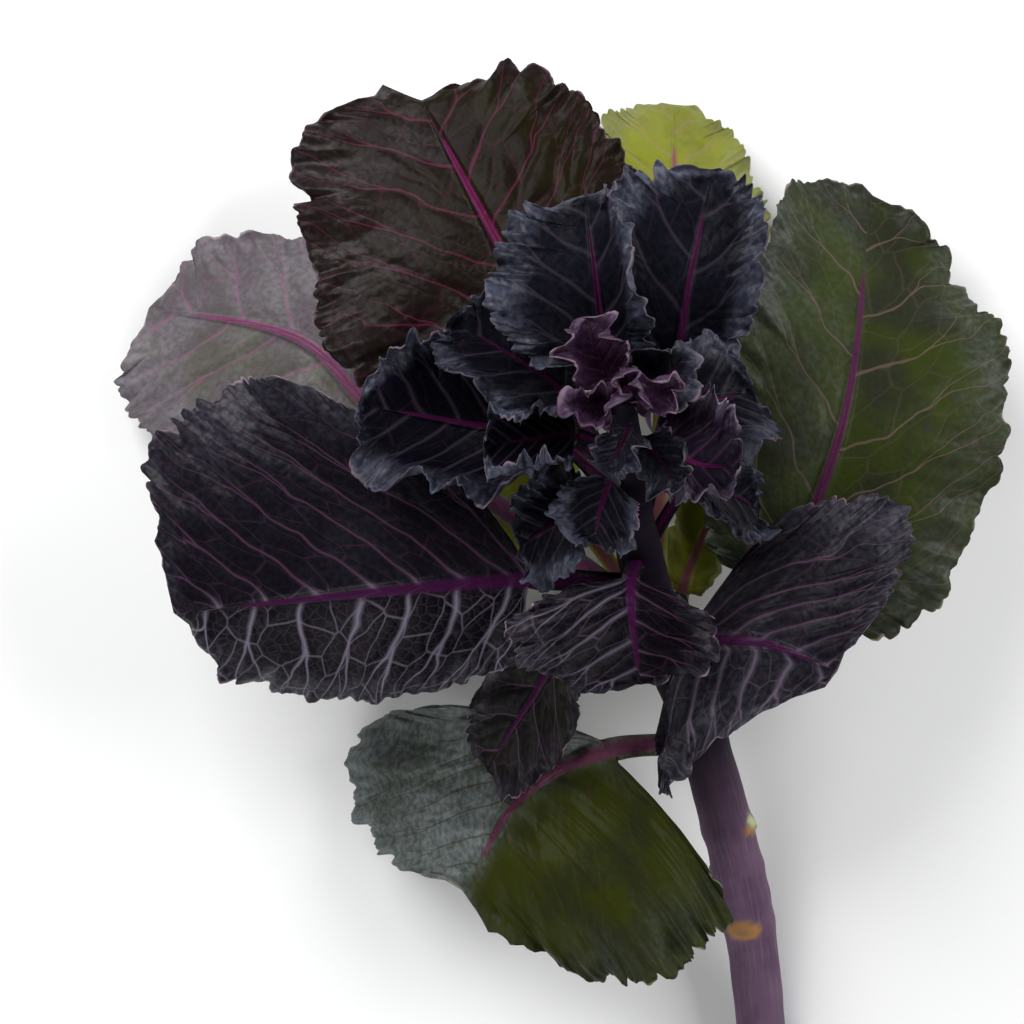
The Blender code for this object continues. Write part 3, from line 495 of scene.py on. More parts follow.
def refined(grid, steps):
    """A grid of values filled in between its rows and columns."""
    rows = np.linspace(0, grid.shape[0] - 1, (grid.shape[0] - 1) * steps + 1)
    columns = np.linspace(0, grid.shape[1] - 1, (grid.shape[1] - 1) * steps + 1)
    i = np.minimum(rows.astype(int), grid.shape[0] - 2)
    j = np.minimum(columns.astype(int), grid.shape[1] - 2)
    f = (rows - i)[:, None]
    g = (columns - j)[None, :]
    if grid.ndim == 3:
        f, g = f[..., None], g[..., None]
    low = grid[i][:, j] * (1 - g) + grid[i][:, j + 1] * g
    high = grid[i + 1][:, j] * (1 - g) + grid[i + 1][:, j + 1] * g
    return low * (1 - f) + high * f


def stem_distance(points):
    """Distance of each point from the stem's skin, less than nothing inside it."""
    flat = points.reshape(-1, 3)
    line = STEM[::3]
    radius = stem_radius(np.linspace(0, 1, len(STEM))[::3])
    best = np.full(len(flat), 1e9)
    close = np.zeros(len(flat), int)
    for k, centre in enumerate(line):
        away = np.linalg.norm(flat - centre, axis=1)
        nearer = away < best
        best[nearer] = away[nearer]
        close[nearer] = k
    return (best - radius[close]).reshape(points.shape[:-1])


class HeightMap:
    """Lowest height already taken above each small cell of the table."""

    def __init__(self):
        count = int(2 * MAP_HALF / CELL) + 1
        self.low = np.full((count, count), FREE)

    def cells(self, points):
        index = np.rint((points[..., :2] + MAP_HALF) / CELL).astype(int)
        index = np.clip(index, 2, len(self.low) - 3)
        return index[..., 0], index[..., 1]

    def add(self, points, below):
        """Records the underside of a leaf, and a cell beyond its edge."""
        x, y = self.cells(points)
        height = points[..., 2] - below
        height = np.where(stem_distance(points) < CLEAR_OF_STEM, FREE, height)
        for dx in (-1, 0, 1):
            for dy in (-1, 0, 1):
                np.minimum.at(self.low, (x + dx, y + dy), height)

    def overlap(self, points, above):
        """How far each point must go down to clear everything laid above it."""
        x, y = self.cells(points)
        push = np.maximum(points[..., 2] + above + LEAF_GAP - self.low[x, y], 0)
        return np.where(stem_distance(points) < CLEAR_OF_STEM, 0, push)


def block_most(fine, rows, columns, steps):
    """The most of a filled-in grid around each of its original points."""
    most = np.zeros((rows, columns))
    for i in range(rows):
        for j in range(columns):
            most[i, j] = fine[max(i * steps - steps + 1, 0):i * steps + steps,
                              max(j * steps - steps + 1, 0):j * steps + steps].max()
    return most


def spread_out(push, rounds):
    """Smooths the push over the leaf without letting any point keep less than it needs."""
    smooth = push.copy()
    for _ in range(rounds):
        padded = np.pad(smooth, 1, mode="edge")
        near = (padded[:-2, 1:-1] + padded[2:, 1:-1] + padded[1:-1, :-2] + padded[1:-1, 2:]) / 4
        smooth = np.maximum(push, 0.15 * smooth + 0.85 * near)
    return smooth


def lift_over_stem(surface, stalk_rows, steps=6):
    """Raises the blade of a leaf where it would cross the stem, clear of the stem's top."""
    points = surface["points"]
    for _ in range(3):
        fine = refined(points, steps)
        below = refined(surface["below"], steps) + SOLID_THICKNESS / 2
        flat = fine.reshape(-1, 3)
        line = STEM[::3]
        radius = stem_radius(np.linspace(0, 1, len(STEM))[::3]) + JOINT_GAP + 0.5
        away = np.linalg.norm(flat[:, None, :2] - line[None, :, :2], axis=2)
        top = line[None, :, 2] + np.sqrt(np.maximum(radius[None] ** 2 - away**2, 0))
        top = np.where(away < radius[None], top, -1e6).max(axis=1).reshape(fine.shape[:-1])
        need = np.maximum(top - (fine[..., 2] - below), 0)
        need[:(stalk_rows + 1) * steps] = 0
        lift = block_most(need, *points.shape[:2], steps)
        if lift.max() < CLOSE_ENOUGH:
            break
        points[..., 2] += spread_out(lift, 6)


def press_under(surface, taken, steps=6, rounds=5):
    """Presses a leaf down clear of the leaves above it, then onto the table where it would sink."""
    points = surface["points"]
    half = SOLID_THICKNESS / 2
    for _ in range(3):
        fine = refined(points, steps)
        above = refined(surface["above"], steps) + half + 0.25
        push = taken.overlap(fine, above)
        needed = block_most(push, *points.shape[:2], steps)
        if needed.max() < CLOSE_ENOUGH:
            break
        points[..., 2] -= spread_out(needed, rounds)
    least = half + TABLE_GAP
    points[..., 2] = least + SINK_ROUND * np.logaddexp(0, (points[..., 2] - least) / SINK_ROUND)
    taken.add(refined(points, steps), refined(surface["below"], steps) + half)


def spline_weights(positions, count):
    """Weights that fill a smooth curve in between evenly numbered values."""
    weights = np.zeros((len(positions), count + 2))
    i = np.minimum(positions.astype(int), count - 2)
    t = positions - i
    row = np.arange(len(positions))
    weights[row, i] += 0.5 * (-t + 2 * t**2 - t**3)
    weights[row, i + 1] += 0.5 * (2 - 5 * t**2 + 3 * t**3)
    weights[row, i + 2] += 0.5 * (t + 4 * t**2 - 3 * t**3)
    weights[row, i + 3] += 0.5 * (-t**2 + t**3)
    inner = weights[:, 1:-1]
    inner[:, 0] += 2 * weights[:, 0]
    inner[:, 1] -= weights[:, 0]
    inner[:, -1] += 2 * weights[:, -1]
    inner[:, -2] -= weights[:, -1]
    return inner


def fine_surface(leaf, moved, taken):
    """The finely divided sheet, moved as the coarse one was and pressed clear of those above."""
    stalk_rows, rows, columns = coarse_counts(leaf)
    full_rows, full_columns = LARGE_GRID if is_large(leaf) else SMALL_GRID
    quick = 1.0
    fine_rows = int(full_rows * quick)
    fine_columns = int(full_columns * quick)
    shares = np.linspace(0, 1, FINE_STALK_ROWS + 1)[:-1]
    us = np.linspace(0, 1, fine_rows + 1)
    rib_column = 1 / columns
    rib_part = rib_column * np.sin(np.linspace(0, math.pi / 2, FINE_RIB_COLUMNS + 1))[:-1]
    v = np.concatenate([rib_part, np.linspace(rib_column, 1, fine_columns + 1)])
    surface = leaf_surface(leaf, (shares, us, v, rib_column), fine=True)
    row_at = np.concatenate([shares * stalk_rows, stalk_rows + us * rows])
    half_at = v * columns
    column_at = np.concatenate([columns - half_at[:0:-1], columns + half_at])
    shift = spline_weights(row_at, moved.shape[0]) @ moved @ spline_weights(column_at, moved.shape[1]).T
    surface["points"][..., 2] += shift
    push = taken.overlap(surface["points"], surface["above"] + FINE_ABOVE)
    surface["points"][..., 2] -= spread_out(push, 60)
    surface["points"][..., 2] = np.maximum(surface["points"][..., 2], FINE_FLOOR)
    taken.add(surface["points"], surface["below"] + FINE_BELOW)
    return surface


def laid_leaves():
    """Every leaf's fine sheet, laid from the top of the head down."""
    taken = HeightMap()
    fine_taken = HeightMap()
    laid = {}
    for leaf in LEAVES:
        surface = coarse_surface(leaf)
        before = surface["points"][..., 2].copy()
        if leaf["over"]:
            lift_over_stem(surface, coarse_counts(leaf)[0])
        press_under(surface, taken)
        laid[leaf["name"]] = (leaf, fine_surface(leaf, surface["points"][..., 2] - before, fine_taken))
    return laid


def row_shift():
    """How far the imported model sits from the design's own origin, in metres."""
    shares = np.linspace(0, 1, STEM_SEGMENTS + 1)
    centres = along_line(STEM, shares, 1)
    tangent = np.gradient(centres, axis=0)
    tangent /= np.linalg.norm(tangent, axis=1)[:, None]
    across = np.cross(tangent, (0, 0, 1))
    across /= np.linalg.norm(across, axis=1)[:, None]
    other = np.cross(across, tangent)
    angles = np.linspace(0, 2 * math.pi, STEM_SIDES, endpoint=False)
    spokes = np.cos(angles)[None, :, None] * across[:, None] + np.sin(angles)[None, :, None] * other[:, None]
    ring = centres[:, None] + stem_radius(shares)[:, None, None] * spokes
    return np.array(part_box("stem")[0]) - ring.reshape(-1, 3).min(axis=0) * MM


# ---------------------------------------------------------------- node building

def put(tree, kind, inputs=None, **settings):
    """A new node with its settings, and its inputs either linked or given values."""
    node = tree.nodes.new(kind)
    for key, value in settings.items():
        setattr(node, key, value)
    for key, value in (inputs or {}).items():
        feed(tree, node.inputs[key], value)
    return node


def feed(tree, socket, value):
    """Links a socket to another, or gives it a constant."""
    if isinstance(value, bpy.types.NodeSocket):
        tree.links.new(value, socket)
    else:
        socket.default_value = value


def calc(tree, operation, *values):
    """The result of a maths node."""
    node = put(tree, "ShaderNodeMath", operation=operation)
    for socket, value in zip(node.inputs, values):
        feed(tree, socket, value)
    return node.outputs[0]


def ease(tree, value, low, high, start=0.0, end=1.0):
    """A smooth step between two values."""
    node = put(tree, "ShaderNodeMapRange", {"Value": value, "From Min": low, "From Max": high,
                                            "To Min": start, "To Max": end}, interpolation_type="SMOOTHSTEP")
    return node.outputs[0]


def blend(tree, factor, first, second):
    """A mix of two colours."""
    node = put(tree, "ShaderNodeMix", data_type="RGBA")
    feed(tree, node.inputs[0], factor)
    feed(tree, node.inputs[6], (*first, 1.0) if isinstance(first, tuple) else first)
    feed(tree, node.inputs[7], (*second, 1.0) if isinstance(second, tuple) else second)
    return node.outputs[2]


def noise(tree, place, scale, detail, roughness=0.5):
    """The value of a noise texture at a place."""
    return put(tree, "ShaderNodeTexNoise", {"Vector": place, "Scale": scale, "Detail": detail,
                                            "Roughness": roughness}).outputs[0]


def xyz(tree, x, y, z=0.0):
    """A vector from its three parts."""
    return put(tree, "ShaderNodeCombineXYZ", {"X": x, "Y": y, "Z": z}).outputs[0]


def off_vein(tree, number, across):
    """Share of the way from a side vein, which forks towards the margin, to the next one."""
    straight = calc(tree, "ABSOLUTE", calc(tree, "SUBTRACT", calc(tree, "FRACT", number), 0.5))
    fork = ease(tree, across, 0.42, 0.95, 0.0, 0.24)
    return calc(tree, "ABSOLUTE", calc(tree, "SUBTRACT", straight, fork))


def inverse(tree, value):
    """One less the value."""
    return calc(tree, "SUBTRACT", 1.0, value)


def moved_along(tree, geometry, direction, amount, material):
    """Moves every point along a direction, then ends the group's geometry with its material."""
    offset = put(tree, "ShaderNodeVectorMath", operation="SCALE")
    tree.links.new(direction, offset.inputs[0])
    tree.links.new(amount, offset.inputs["Scale"])
    moved = put(tree, "GeometryNodeSetPosition", {"Geometry": geometry, "Offset": offset.outputs[0]})
    smooth = put(tree, "GeometryNodeSetShadeSmooth", {"Geometry": moved.outputs[0], "Shade Smooth": True})
    real = put(tree, "GeometryNodeRealizeInstances", {"Geometry": smooth.outputs[0]})
    coated = put(tree, "GeometryNodeSetMaterial", {"Geometry": real.outputs[0], "Material": material})
    return coated.outputs[0]


def new_group(name, kind, inputs, outputs):
    """An empty node group with its sockets, and its input and output nodes."""
    tree = bpy.data.node_groups.new(name, kind)
    for label, socket, default in inputs:
        made = tree.interface.new_socket(label, in_out="INPUT", socket_type=socket)
        if default is not None:
            made.default_value = default
    for label, socket in outputs:
        tree.interface.new_socket(label, in_out="OUTPUT", socket_type=socket)
    return tree, tree.nodes.new("NodeGroupInput"), tree.nodes.new("NodeGroupOutput")


def vein_cells(tree, veins, reach):
    """Distance to the edge of the cells that the finer veins make between the side veins."""
    across = xyz(tree, calc(tree, "MULTIPLY", veins, 1.7), calc(tree, "MULTIPLY", reach, 80.0))
    cells = put(tree, "ShaderNodeTexVoronoi", {"Vector": across, "Scale": 1.0, "Randomness": 0.9},
                feature="DISTANCE_TO_EDGE", voronoi_dimensions="2D")
    return cells.outputs["Distance"]


def shaken_veins(tree, veins, flat):
    """The vein number, shaken so that no vein runs quite straight."""
    wobble = noise(tree, flat, 45.0, 2.0)
    return calc(tree, "MULTIPLY_ADD", calc(tree, "SUBTRACT", wobble, 0.5), 0.7, veins)


def vein_group():
    """Masks of the side veins and of the finer net, and the puckered height between them."""
    inputs = [(label, "NodeSocketFloat", default) for label, default in
              (("Veins", 0.0), ("Across", 0.0), ("Spacing", 0.01), ("Reach", 0.0), ("Heft", 1.0))]
    masks = ("Side veins", "Net", "Fine net", "Height", "Flank")
    inputs.append(("Flat", "NodeSocketVector", None))
    outputs = [(label, "NodeSocketFloat") for label in masks]
    tree, given, result = new_group("Leaf veins", "ShaderNodeTree", inputs, outputs)
    at = given.outputs
    shaken = shaken_veins(tree, at["Veins"], at["Flat"])
    gap = calc(tree, "MULTIPLY", off_vein(tree, shaken, at["Across"]), at["Spacing"])
    taper = calc(tree, "MULTIPLY", ease(tree, at["Across"], 0.0, 0.95, 0.00062, 0.00018), at["Heft"])
    widths = calc(tree, "DIVIDE", gap, taper)
    side = inverse(tree, ease(tree, widths, 0.35, 1.0))
    flank = inverse(tree, ease(tree, widths, 0.9, 2.6))
    cells = vein_cells(tree, shaken, at["Reach"])
    net = inverse(tree, ease(tree, cells, 0.008, 0.045))
    small = put(tree, "ShaderNodeTexVoronoi", {"Vector": at["Flat"], "Scale": 330.0},
                feature="DISTANCE_TO_EDGE").outputs["Distance"]
    fine = inverse(tree, ease(tree, small, 0.01, 0.09))
    high = calc(tree, "MULTIPLY", ease(tree, gap, 0.0002, 0.0040), 0.45)
    high = calc(tree, "ADD", high, calc(tree, "MULTIPLY", ease(tree, cells, 0.0, 0.30), 0.35))
    high = calc(tree, "ADD", high, calc(tree, "MULTIPLY", ease(tree, small, 0.0, 0.35), 0.20))
    for label, value in zip(masks, (side, net, fine, high, flank)):
        tree.links.new(value, result.inputs[label])
    return tree


def bloom_and_sheen_group():
    """Patchy waxy bloom, with the painted sheen given in its amount: broad clouds with faint streaks
    and fine dust.
    """
    tree, given, result = new_group(
        "Wax and painted sheen", "ShaderNodeTree",
        [("Flat", "NodeSocketVector", None), ("Amount", "NodeSocketFloat", 0.5),
         ("Reach", "NodeSocketFloat", 0.0), ("Veins", "NodeSocketFloat", 0.0)],
        [("Mask", "NodeSocketFloat")])
    at = given.outputs
    clouds = noise(tree, at["Flat"], 38.0, 4.0, 0.6)
    lines = xyz(tree, calc(tree, "MULTIPLY", at["Veins"], 5.0), calc(tree, "MULTIPLY", at["Reach"], 40.0))
    streaks = noise(tree, lines, 1.6, 3.0)
    mixed = calc(tree, "ADD", calc(tree, "MULTIPLY", clouds, 0.8), calc(tree, "MULTIPLY", streaks, 0.2))
    dust = noise(tree, at["Flat"], 520.0, 3.0)
    patch = calc(tree, "MULTIPLY", ease(tree, mixed, 0.36, 0.66, 0.35, 1.0),
                 ease(tree, dust, 0.35, 0.65, 0.62, 1.25))
    tree.links.new(calc(tree, "MULTIPLY", patch, at["Amount"]), result.inputs["Mask"])
    return tree


def attribute(tree, name, output="Fac"):
    """A value stored on the mesh."""
    return put(tree, "ShaderNodeAttribute", attribute_name=name, attribute_type="GEOMETRY").outputs[output]


def put_group(tree, name, values):
    """The outputs of a group that runs on the given values."""
    node = put(tree, "ShaderNodeGroup", node_tree=bpy.data.node_groups[name])
    for label, value in values.items():
        feed(tree, node.inputs[label], value)
    return node.outputs


def new_material(name):
    """A new material, its nodes and its Principled node."""
    made = bpy.data.materials.new(name)
    made.use_nodes = True
    return made, made.node_tree, made.node_tree.nodes["Principled BSDF"]


def bumped(tree, skin, height):
    """Gives the skin a fine bump, and returns its normal."""
    bump = put(tree, "ShaderNodeBump", {"Strength": 0.5, "Distance": 0.0005, "Height": height})
    tree.links.new(bump.outputs[0], skin.inputs["Normal"])
    return bump.outputs[0]


def leaf_material(name, tint):
    """The skin of one kind of leaf."""
    colours = TINTS[tint]
    made, tree, skin = new_material(name)
    flat = attribute(tree, "flat", "Vector")
    number = attribute(tree, "veins")
    reach = attribute(tree, "reach")
    veins = put_group(tree, "Leaf veins", {
        "Veins": number, "Across": attribute(tree, "across"), "Reach": reach,
        "Spacing": attribute(tree, "spacing"), "Flat": flat, "Heft": attribute(tree, "heft")})
    bloom_and_sheen = put_group(tree, "Wax and painted sheen", {
        "Flat": flat, "Amount": attribute(tree, "bloom_and_sheen"), "Reach": reach, "Veins": number})["Mask"]
    pale = attribute(tree, "pale")
    patches = ease(tree, noise(tree, flat, 48.0, 5.0), 0.36, 0.62, 0.35, 1.2)
    # A ragged band along the margin in the edge colour: partly the leaf's own pink rim, partly painted rim
    # light.
    crumbs = noise(tree, flat, 130.0, 2.0)
    ragged = calc(tree, "MULTIPLY_ADD", crumbs, 0.0034, attribute(tree, "edge"))
    trim = calc(tree, "MULTIPLY", ease(tree, ragged, 0.0013, 0.0021, 0.9, 0.0), ease(tree, crumbs, 0.62, 0.4))
    vein_colour = blend(tree, calc(tree, "MULTIPLY", pale, 0.75), colours["veins"], (0.24, 0.20, 0.27))
    powder = tuple(1.2 * part + 0.03 for part in colours["bloom_and_sheen"])

    def where(mask, paler, least):
        return calc(tree, "MULTIPLY", veins[mask], calc(tree, "MULTIPLY_ADD", pale, paler, least))

    colour = colours["blade"]
    # The bloom colour is laid both as the leaves' real wax and as painted sheen on lit halves and margins.
    for share, over in (
            (calc(tree, "MULTIPLY", attribute(tree, "green"), patches), colours["leafy"]),
            (calc(tree, "MULTIPLY", bloom_and_sheen, 0.62), colours["bloom_and_sheen"]),
            (where("Flank", 0.60, 0.0), powder),
            (where("Net", 0.24, 0.16), vein_colour),
            (where("Fine net", 0.05, 0.03), vein_colour),
            (calc(tree, "MULTIPLY", veins["Side veins"], 0.7), vein_colour),
            (ease(tree, attribute(tree, "rib"), 0.35, 0.85, 0.0, 0.9), colours["rib"]),
            (trim, colours["edge"])):
        colour = blend(tree, share, colour, over)
    tree.links.new(colour, skin.inputs["Base Color"])
    tree.links.new(ease(tree, bloom_and_sheen, 0.0, 0.8, 0.34, 0.48), skin.inputs["Roughness"])
    tree.links.new(ease(tree, bloom_and_sheen, 0.0, 0.9, 0.04, 0.34), skin.inputs["Specular IOR Level"])
    bump = bumped(tree, skin, veins["Height"])
    thin = put(tree, "ShaderNodeBsdfTranslucent", {"Color": colour, "Normal": bump})
    mixed = put(tree, "ShaderNodeMixShader", {"Fac": colours["thin"]})
    tree.links.new(skin.outputs[0], mixed.inputs[1])
    tree.links.new(thin.outputs[0], mixed.inputs[2])
    tree.links.new(mixed.outputs[0], tree.nodes["Material Output"].inputs["Surface"])
    return made


def stem_material():
    """Matte mauve skin with faint lengthwise lines, near-black in the head (partly the young stem's own
    darker skin, partly painted shade under the leaves), and brown at the scars.
    """
    made, tree, skin = new_material("stem skin")
    clouds = noise(tree, put(tree, "ShaderNodeTexCoord").outputs["Object"], 70.0, 5.0)
    along = attribute(tree, "along")
    lines_at = xyz(tree, calc(tree, "MULTIPLY", attribute(tree, "around"), 60.0),
                      calc(tree, "MULTIPLY", along, 60.0))
    lines = noise(tree, lines_at, 1.0, 3.0)
    colour = (0.075, 0.037, 0.076)
    for share, over in (
            (ease(tree, clouds, 0.35, 0.65), (0.115, 0.064, 0.112)),
            (ease(tree, lines, 0.45, 0.75, 0.0, 0.5), (0.17, 0.11, 0.16)),
            # Towards the growing tip the skin turns near-black: partly the young stem's own darker colour,
            # partly painted shade where the leaves cover it.
            (ease(tree, along, 0.085, 0.13, 0.0, 0.95), (0.004, 0.003, 0.007)),
            (attribute(tree, "scar"), (0.30, 0.15, 0.045)),
            (attribute(tree, "pith"), (0.42, 0.45, 0.26))):
        colour = blend(tree, share, colour, over)
    tree.links.new(colour, skin.inputs["Base Color"])
    skin.inputs["Roughness"].default_value = 0.62
    tree.links.new(ease(tree, along, 0.085, 0.13, 0.2, 0.03), skin.inputs["Specular IOR Level"])
    skin.inputs["Sheen Weight"].default_value = 0.03
    skin.inputs["Sheen Roughness"].default_value = 0.5
    high = calc(tree, "ADD", calc(tree, "MULTIPLY", lines, 0.6), calc(tree, "MULTIPLY", clouds, 0.4))
    bumped(tree, skin, high)
    return made


def named(tree, name, kind="FLOAT"):
    """A stored value, read in a geometry group."""
    return put(tree, "GeometryNodeInputNamedAttribute", {"Name": name}, data_type=kind).outputs["Attribute"]


def pucker_group():
    """Geometry group that frills a leaf's margin and puffs the blade up between its veins."""
    tree, given, result = new_group(
        "Leaf puckers", "GeometryNodeTree",
        [("Geometry", "NodeSocketGeometry", None), ("Material", "NodeSocketMaterial", None),
         ("Frill height", "NodeSocketFloat", 0.0016), ("Frill length", "NodeSocketFloat", 0.013),
         ("Fine frill height", "NodeSocketFloat", 0.0007), ("Pucker height", "NodeSocketFloat", 0.0008),
         ("Seed", "NodeSocketFloat", 1.0)],
        [("Geometry", "NodeSocketGeometry")])
    at = given.outputs
    across = named(tree, "across")
    flat = named(tree, "flat", "FLOAT_VECTOR")
    rim = xyz(tree, calc(tree, "DIVIDE", named(tree, "margin"), at["Frill length"]),
                 calc(tree, "MULTIPLY", across, 1.3), at["Seed"])

    def frills(scale, detail, power, height):
        swing = calc(tree, "SUBTRACT", noise(tree, rim, scale, detail), 0.5)
        swing = calc(tree, "MULTIPLY", swing, calc(tree, "POWER", across, power))
        return calc(tree, "MULTIPLY", swing, calc(tree, "MULTIPLY", at[height], 6.0))

    veins = shaken_veins(tree, named(tree, "veins"), flat)
    cells = vein_cells(tree, veins, named(tree, "reach"))
    blisters = calc(tree, "MULTIPLY", named(tree, "puff"), 3.6)
    puffs = calc(tree, "MULTIPLY", ease(tree, cells, 0.0, 0.45), blisters)
    puff = calc(tree, "MULTIPLY_ADD", ease(tree, off_vein(tree, veins, across), 0.0, 0.3), 0.35, puffs)
    dents = calc(tree, "SUBTRACT", noise(tree, flat, 48.0, 1.5), 0.5)
    puff = calc(tree, "MULTIPLY_ADD", dents, 1.2, puff)
    zone = calc(tree, "MULTIPLY", ease(tree, across, 0.03, 0.2), ease(tree, across, 1.0, 0.75))
    puff = calc(tree, "MULTIPLY", calc(tree, "MULTIPLY", puff, zone), at["Pucker height"])
    large = frills(1.0, 1.0, 3.2, "Frill height")
    small = frills(2.6, 1.5, 5.0, "Fine frill height")
    frill = calc(tree, "ADD", large, small)
    coated = moved_along(tree, at["Geometry"], named(tree, "face_up", "FLOAT_VECTOR"),
                         calc(tree, "ADD", frill, puff), at["Material"])
    tree.links.new(coated, result.inputs[0])
    return tree


def linked(name, data):
    """A new object in the scene."""
    made = bpy.data.objects.new(name, data)
    bpy.context.scene.collection.objects.link(made)
    return made


def mesh_of(name, points, quads):
    """A mesh from arrays of points in metres and four-sided faces."""
    mesh = bpy.data.meshes.new(name)
    mesh.vertices.add(len(points))
    mesh.vertices.foreach_set("co", np.ascontiguousarray(points, np.float32).ravel())
    mesh.loops.add(quads.size)
    mesh.loops.foreach_set("vertex_index", np.ascontiguousarray(quads, np.int32).ravel())
    mesh.polygons.add(len(quads))
    mesh.polygons.foreach_set("loop_start", np.arange(0, quads.size, 4, dtype=np.int32))
    mesh.polygons.foreach_set("use_smooth", np.ones(len(quads), bool))
    mesh.update(calc_edges=True)
    return mesh


def store(mesh, name, values):
    """Stores a number or a vector on each vertex."""
    vector = values.ndim == 2
    made = mesh.attributes.new(name, "FLOAT_VECTOR" if vector else "FLOAT", "POINT")
    made.data.foreach_set("vector" if vector else "value", np.ascontiguousarray(values, np.float32).ravel())


def sheet_quads(rows, columns):
    """Faces of a thin closed sheet whose last row folds shut at the leaf's tip."""
    index = np.arange(rows * columns).reshape(rows, columns)
    middle = columns // 2
    index[-1, :middle] = index[-1, :middle:-1]
    count = rows * columns
    top = np.stack([index[:-1, :-1], index[:-1, 1:], index[1:, 1:], index[1:, :-1]], axis=-1).reshape(-1, 4)
    low = top[:, [0, 3, 2, 1]] + count
    rim = np.concatenate([index[:, 0], index[-2::-1, -1]])
    edge = np.stack([rim[:-1], rim[1:], rim[1:] + count, rim[:-1] + count], axis=-1)
    end = np.stack([index[0, 1:], index[0, :-1], index[0, :-1] + count, index[0, 1:] + count], axis=-1)
    return np.vstack([top, low, edge, end])


def eased(values, low, high):
    """A smooth step between two values, on arrays."""
    t = np.clip((values - low) / (high - low), 0, 1)
    return t * t * (3 - 2 * t)


def leaf_mesh(leaf, surface, thickness, shift):
    """The closed mesh of a leaf with everything its skin and its puckers read."""
    rows, columns = surface["points"].shape[:2]
    half = thickness / 2
    upper = surface["points"] + surface["face"] * (half + surface["above"])[..., None]
    lower = surface["points"] - surface["face"] * (half + surface["below"])[..., None]
    points = np.vstack([upper.reshape(-1, 3), lower.reshape(-1, 3)]) * MM + shift
    quads = sheet_quads(rows, columns)
    used, quads = np.unique(quads, return_inverse=True)
    quads = quads.reshape(-1, 4)
    mesh = mesh_of(leaf["name"], points[used], quads)
    sideways = np.linalg.norm(np.diff(surface["points"], axis=1), axis=-1)
    middle = columns // 2
    reach = np.zeros((rows, columns))
    reach[:, middle + 1:] = np.cumsum(sideways[:, middle:], axis=1)
    reach[:, :middle] = np.cumsum(sideways[:, :middle][:, ::-1], axis=1)[:, ::-1]
    look = look_of(leaf)
    heft = min(1.0, (max(leaf["half"]) / 60) ** 0.6)
    right = eased(-surface["signed"], -6, 6)

    def shared(key):
        return look[key][0] + (look[key][1] - look[key][0]) * right

    # Painted sheen along the margin, laid into the bloom: the lit rims of the inner and heart leaves.
    rim_sheen = look["rim"] * eased(surface["across"], 0.55, 0.9)
    values = {
        "across": surface["across"], "veins": surface["veins"], "rib": surface["rib"],
        "reach": reach * MM + 0.3 * (surface["signed"] < 0), "edge": surface["edge"] / heft * MM,
        "spacing": (surface["spacing"] + 40 * surface["stalk"]) * MM, "margin": surface["margin"] * MM,
        "heft": np.full((rows, columns), heft), "puff": surface["puff"],
        "bloom_and_sheen": shared("bloom_and_sheen") * (1 - 0.75 * look["rim"]) + rim_sheen,
        "pale": shared("pale"), "green": shared("green") * (1.15 - 0.5 * surface["out"]),
    }
    for name, value in values.items():
        store(mesh, name, np.tile(value.reshape(-1), 2)[used])
    for name, value in (("flat", surface["flat"] * MM + leaf["seed"]), ("face_up", surface["face"])):
        store(mesh, name, np.tile(value.reshape(-1, 3), (2, 1))[used])
    return mesh


def settled(name, source, group, inputs):
    """Runs a geometry group on a mesh or curve and returns the result as a plain mesh object."""
    modifier = source.modifiers.new("build", "NODES")
    modifier.node_group = group
    for item in group.interface.items_tree:
        if item.item_type == "SOCKET" and item.in_out == "INPUT" and item.name in inputs:
            modifier[item.identifier] = inputs[item.name]
    bpy.context.view_layer.update()
    seen = source.evaluated_get(bpy.context.evaluated_depsgraph_get())
    mesh = bpy.data.meshes.new_from_object(seen)
    mesh.name = name
    made = linked(name, mesh)
    old = source.data
    bpy.data.objects.remove(source, do_unlink=True)
    if isinstance(old, bpy.types.Mesh):
        bpy.data.meshes.remove(old)
    else:
        bpy.data.curves.remove(old)
    return made


WORK = {}


def add_leaves(names, settings):
    """Builds the named leaves and puts each in place of its solid."""
    if "laid" not in WORK:
        WORK["laid"] = laid_leaves()
        WORK["shift"] = row_shift()
    group = bpy.data.node_groups.get("Leaf puckers") or pucker_group()
    for name in names:
        leaf, surface = WORK["laid"][name]
        look = look_of(leaf)
        mesh = leaf_mesh(leaf, surface, settings.blade_thickness / MM, WORK["shift"])
        kind = "leaf " + leaf["tint"]
        skin = bpy.data.materials.get(kind) or leaf_material(kind, leaf["tint"])
        made = settled(name + "_leaf", linked(name + "_sheet", mesh), group, {
            "Material": skin, "Frill length": settings.frill_length,
            "Frill height": look["frill"] * MM * settings.frill_strength,
            "Fine frill height": look["fine"] * MM * settings.frill_strength,
            "Pucker height": look["quilt"] * MM, "Seed": float(leaf["seed"])})
        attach(made, "root")
        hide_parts(name)


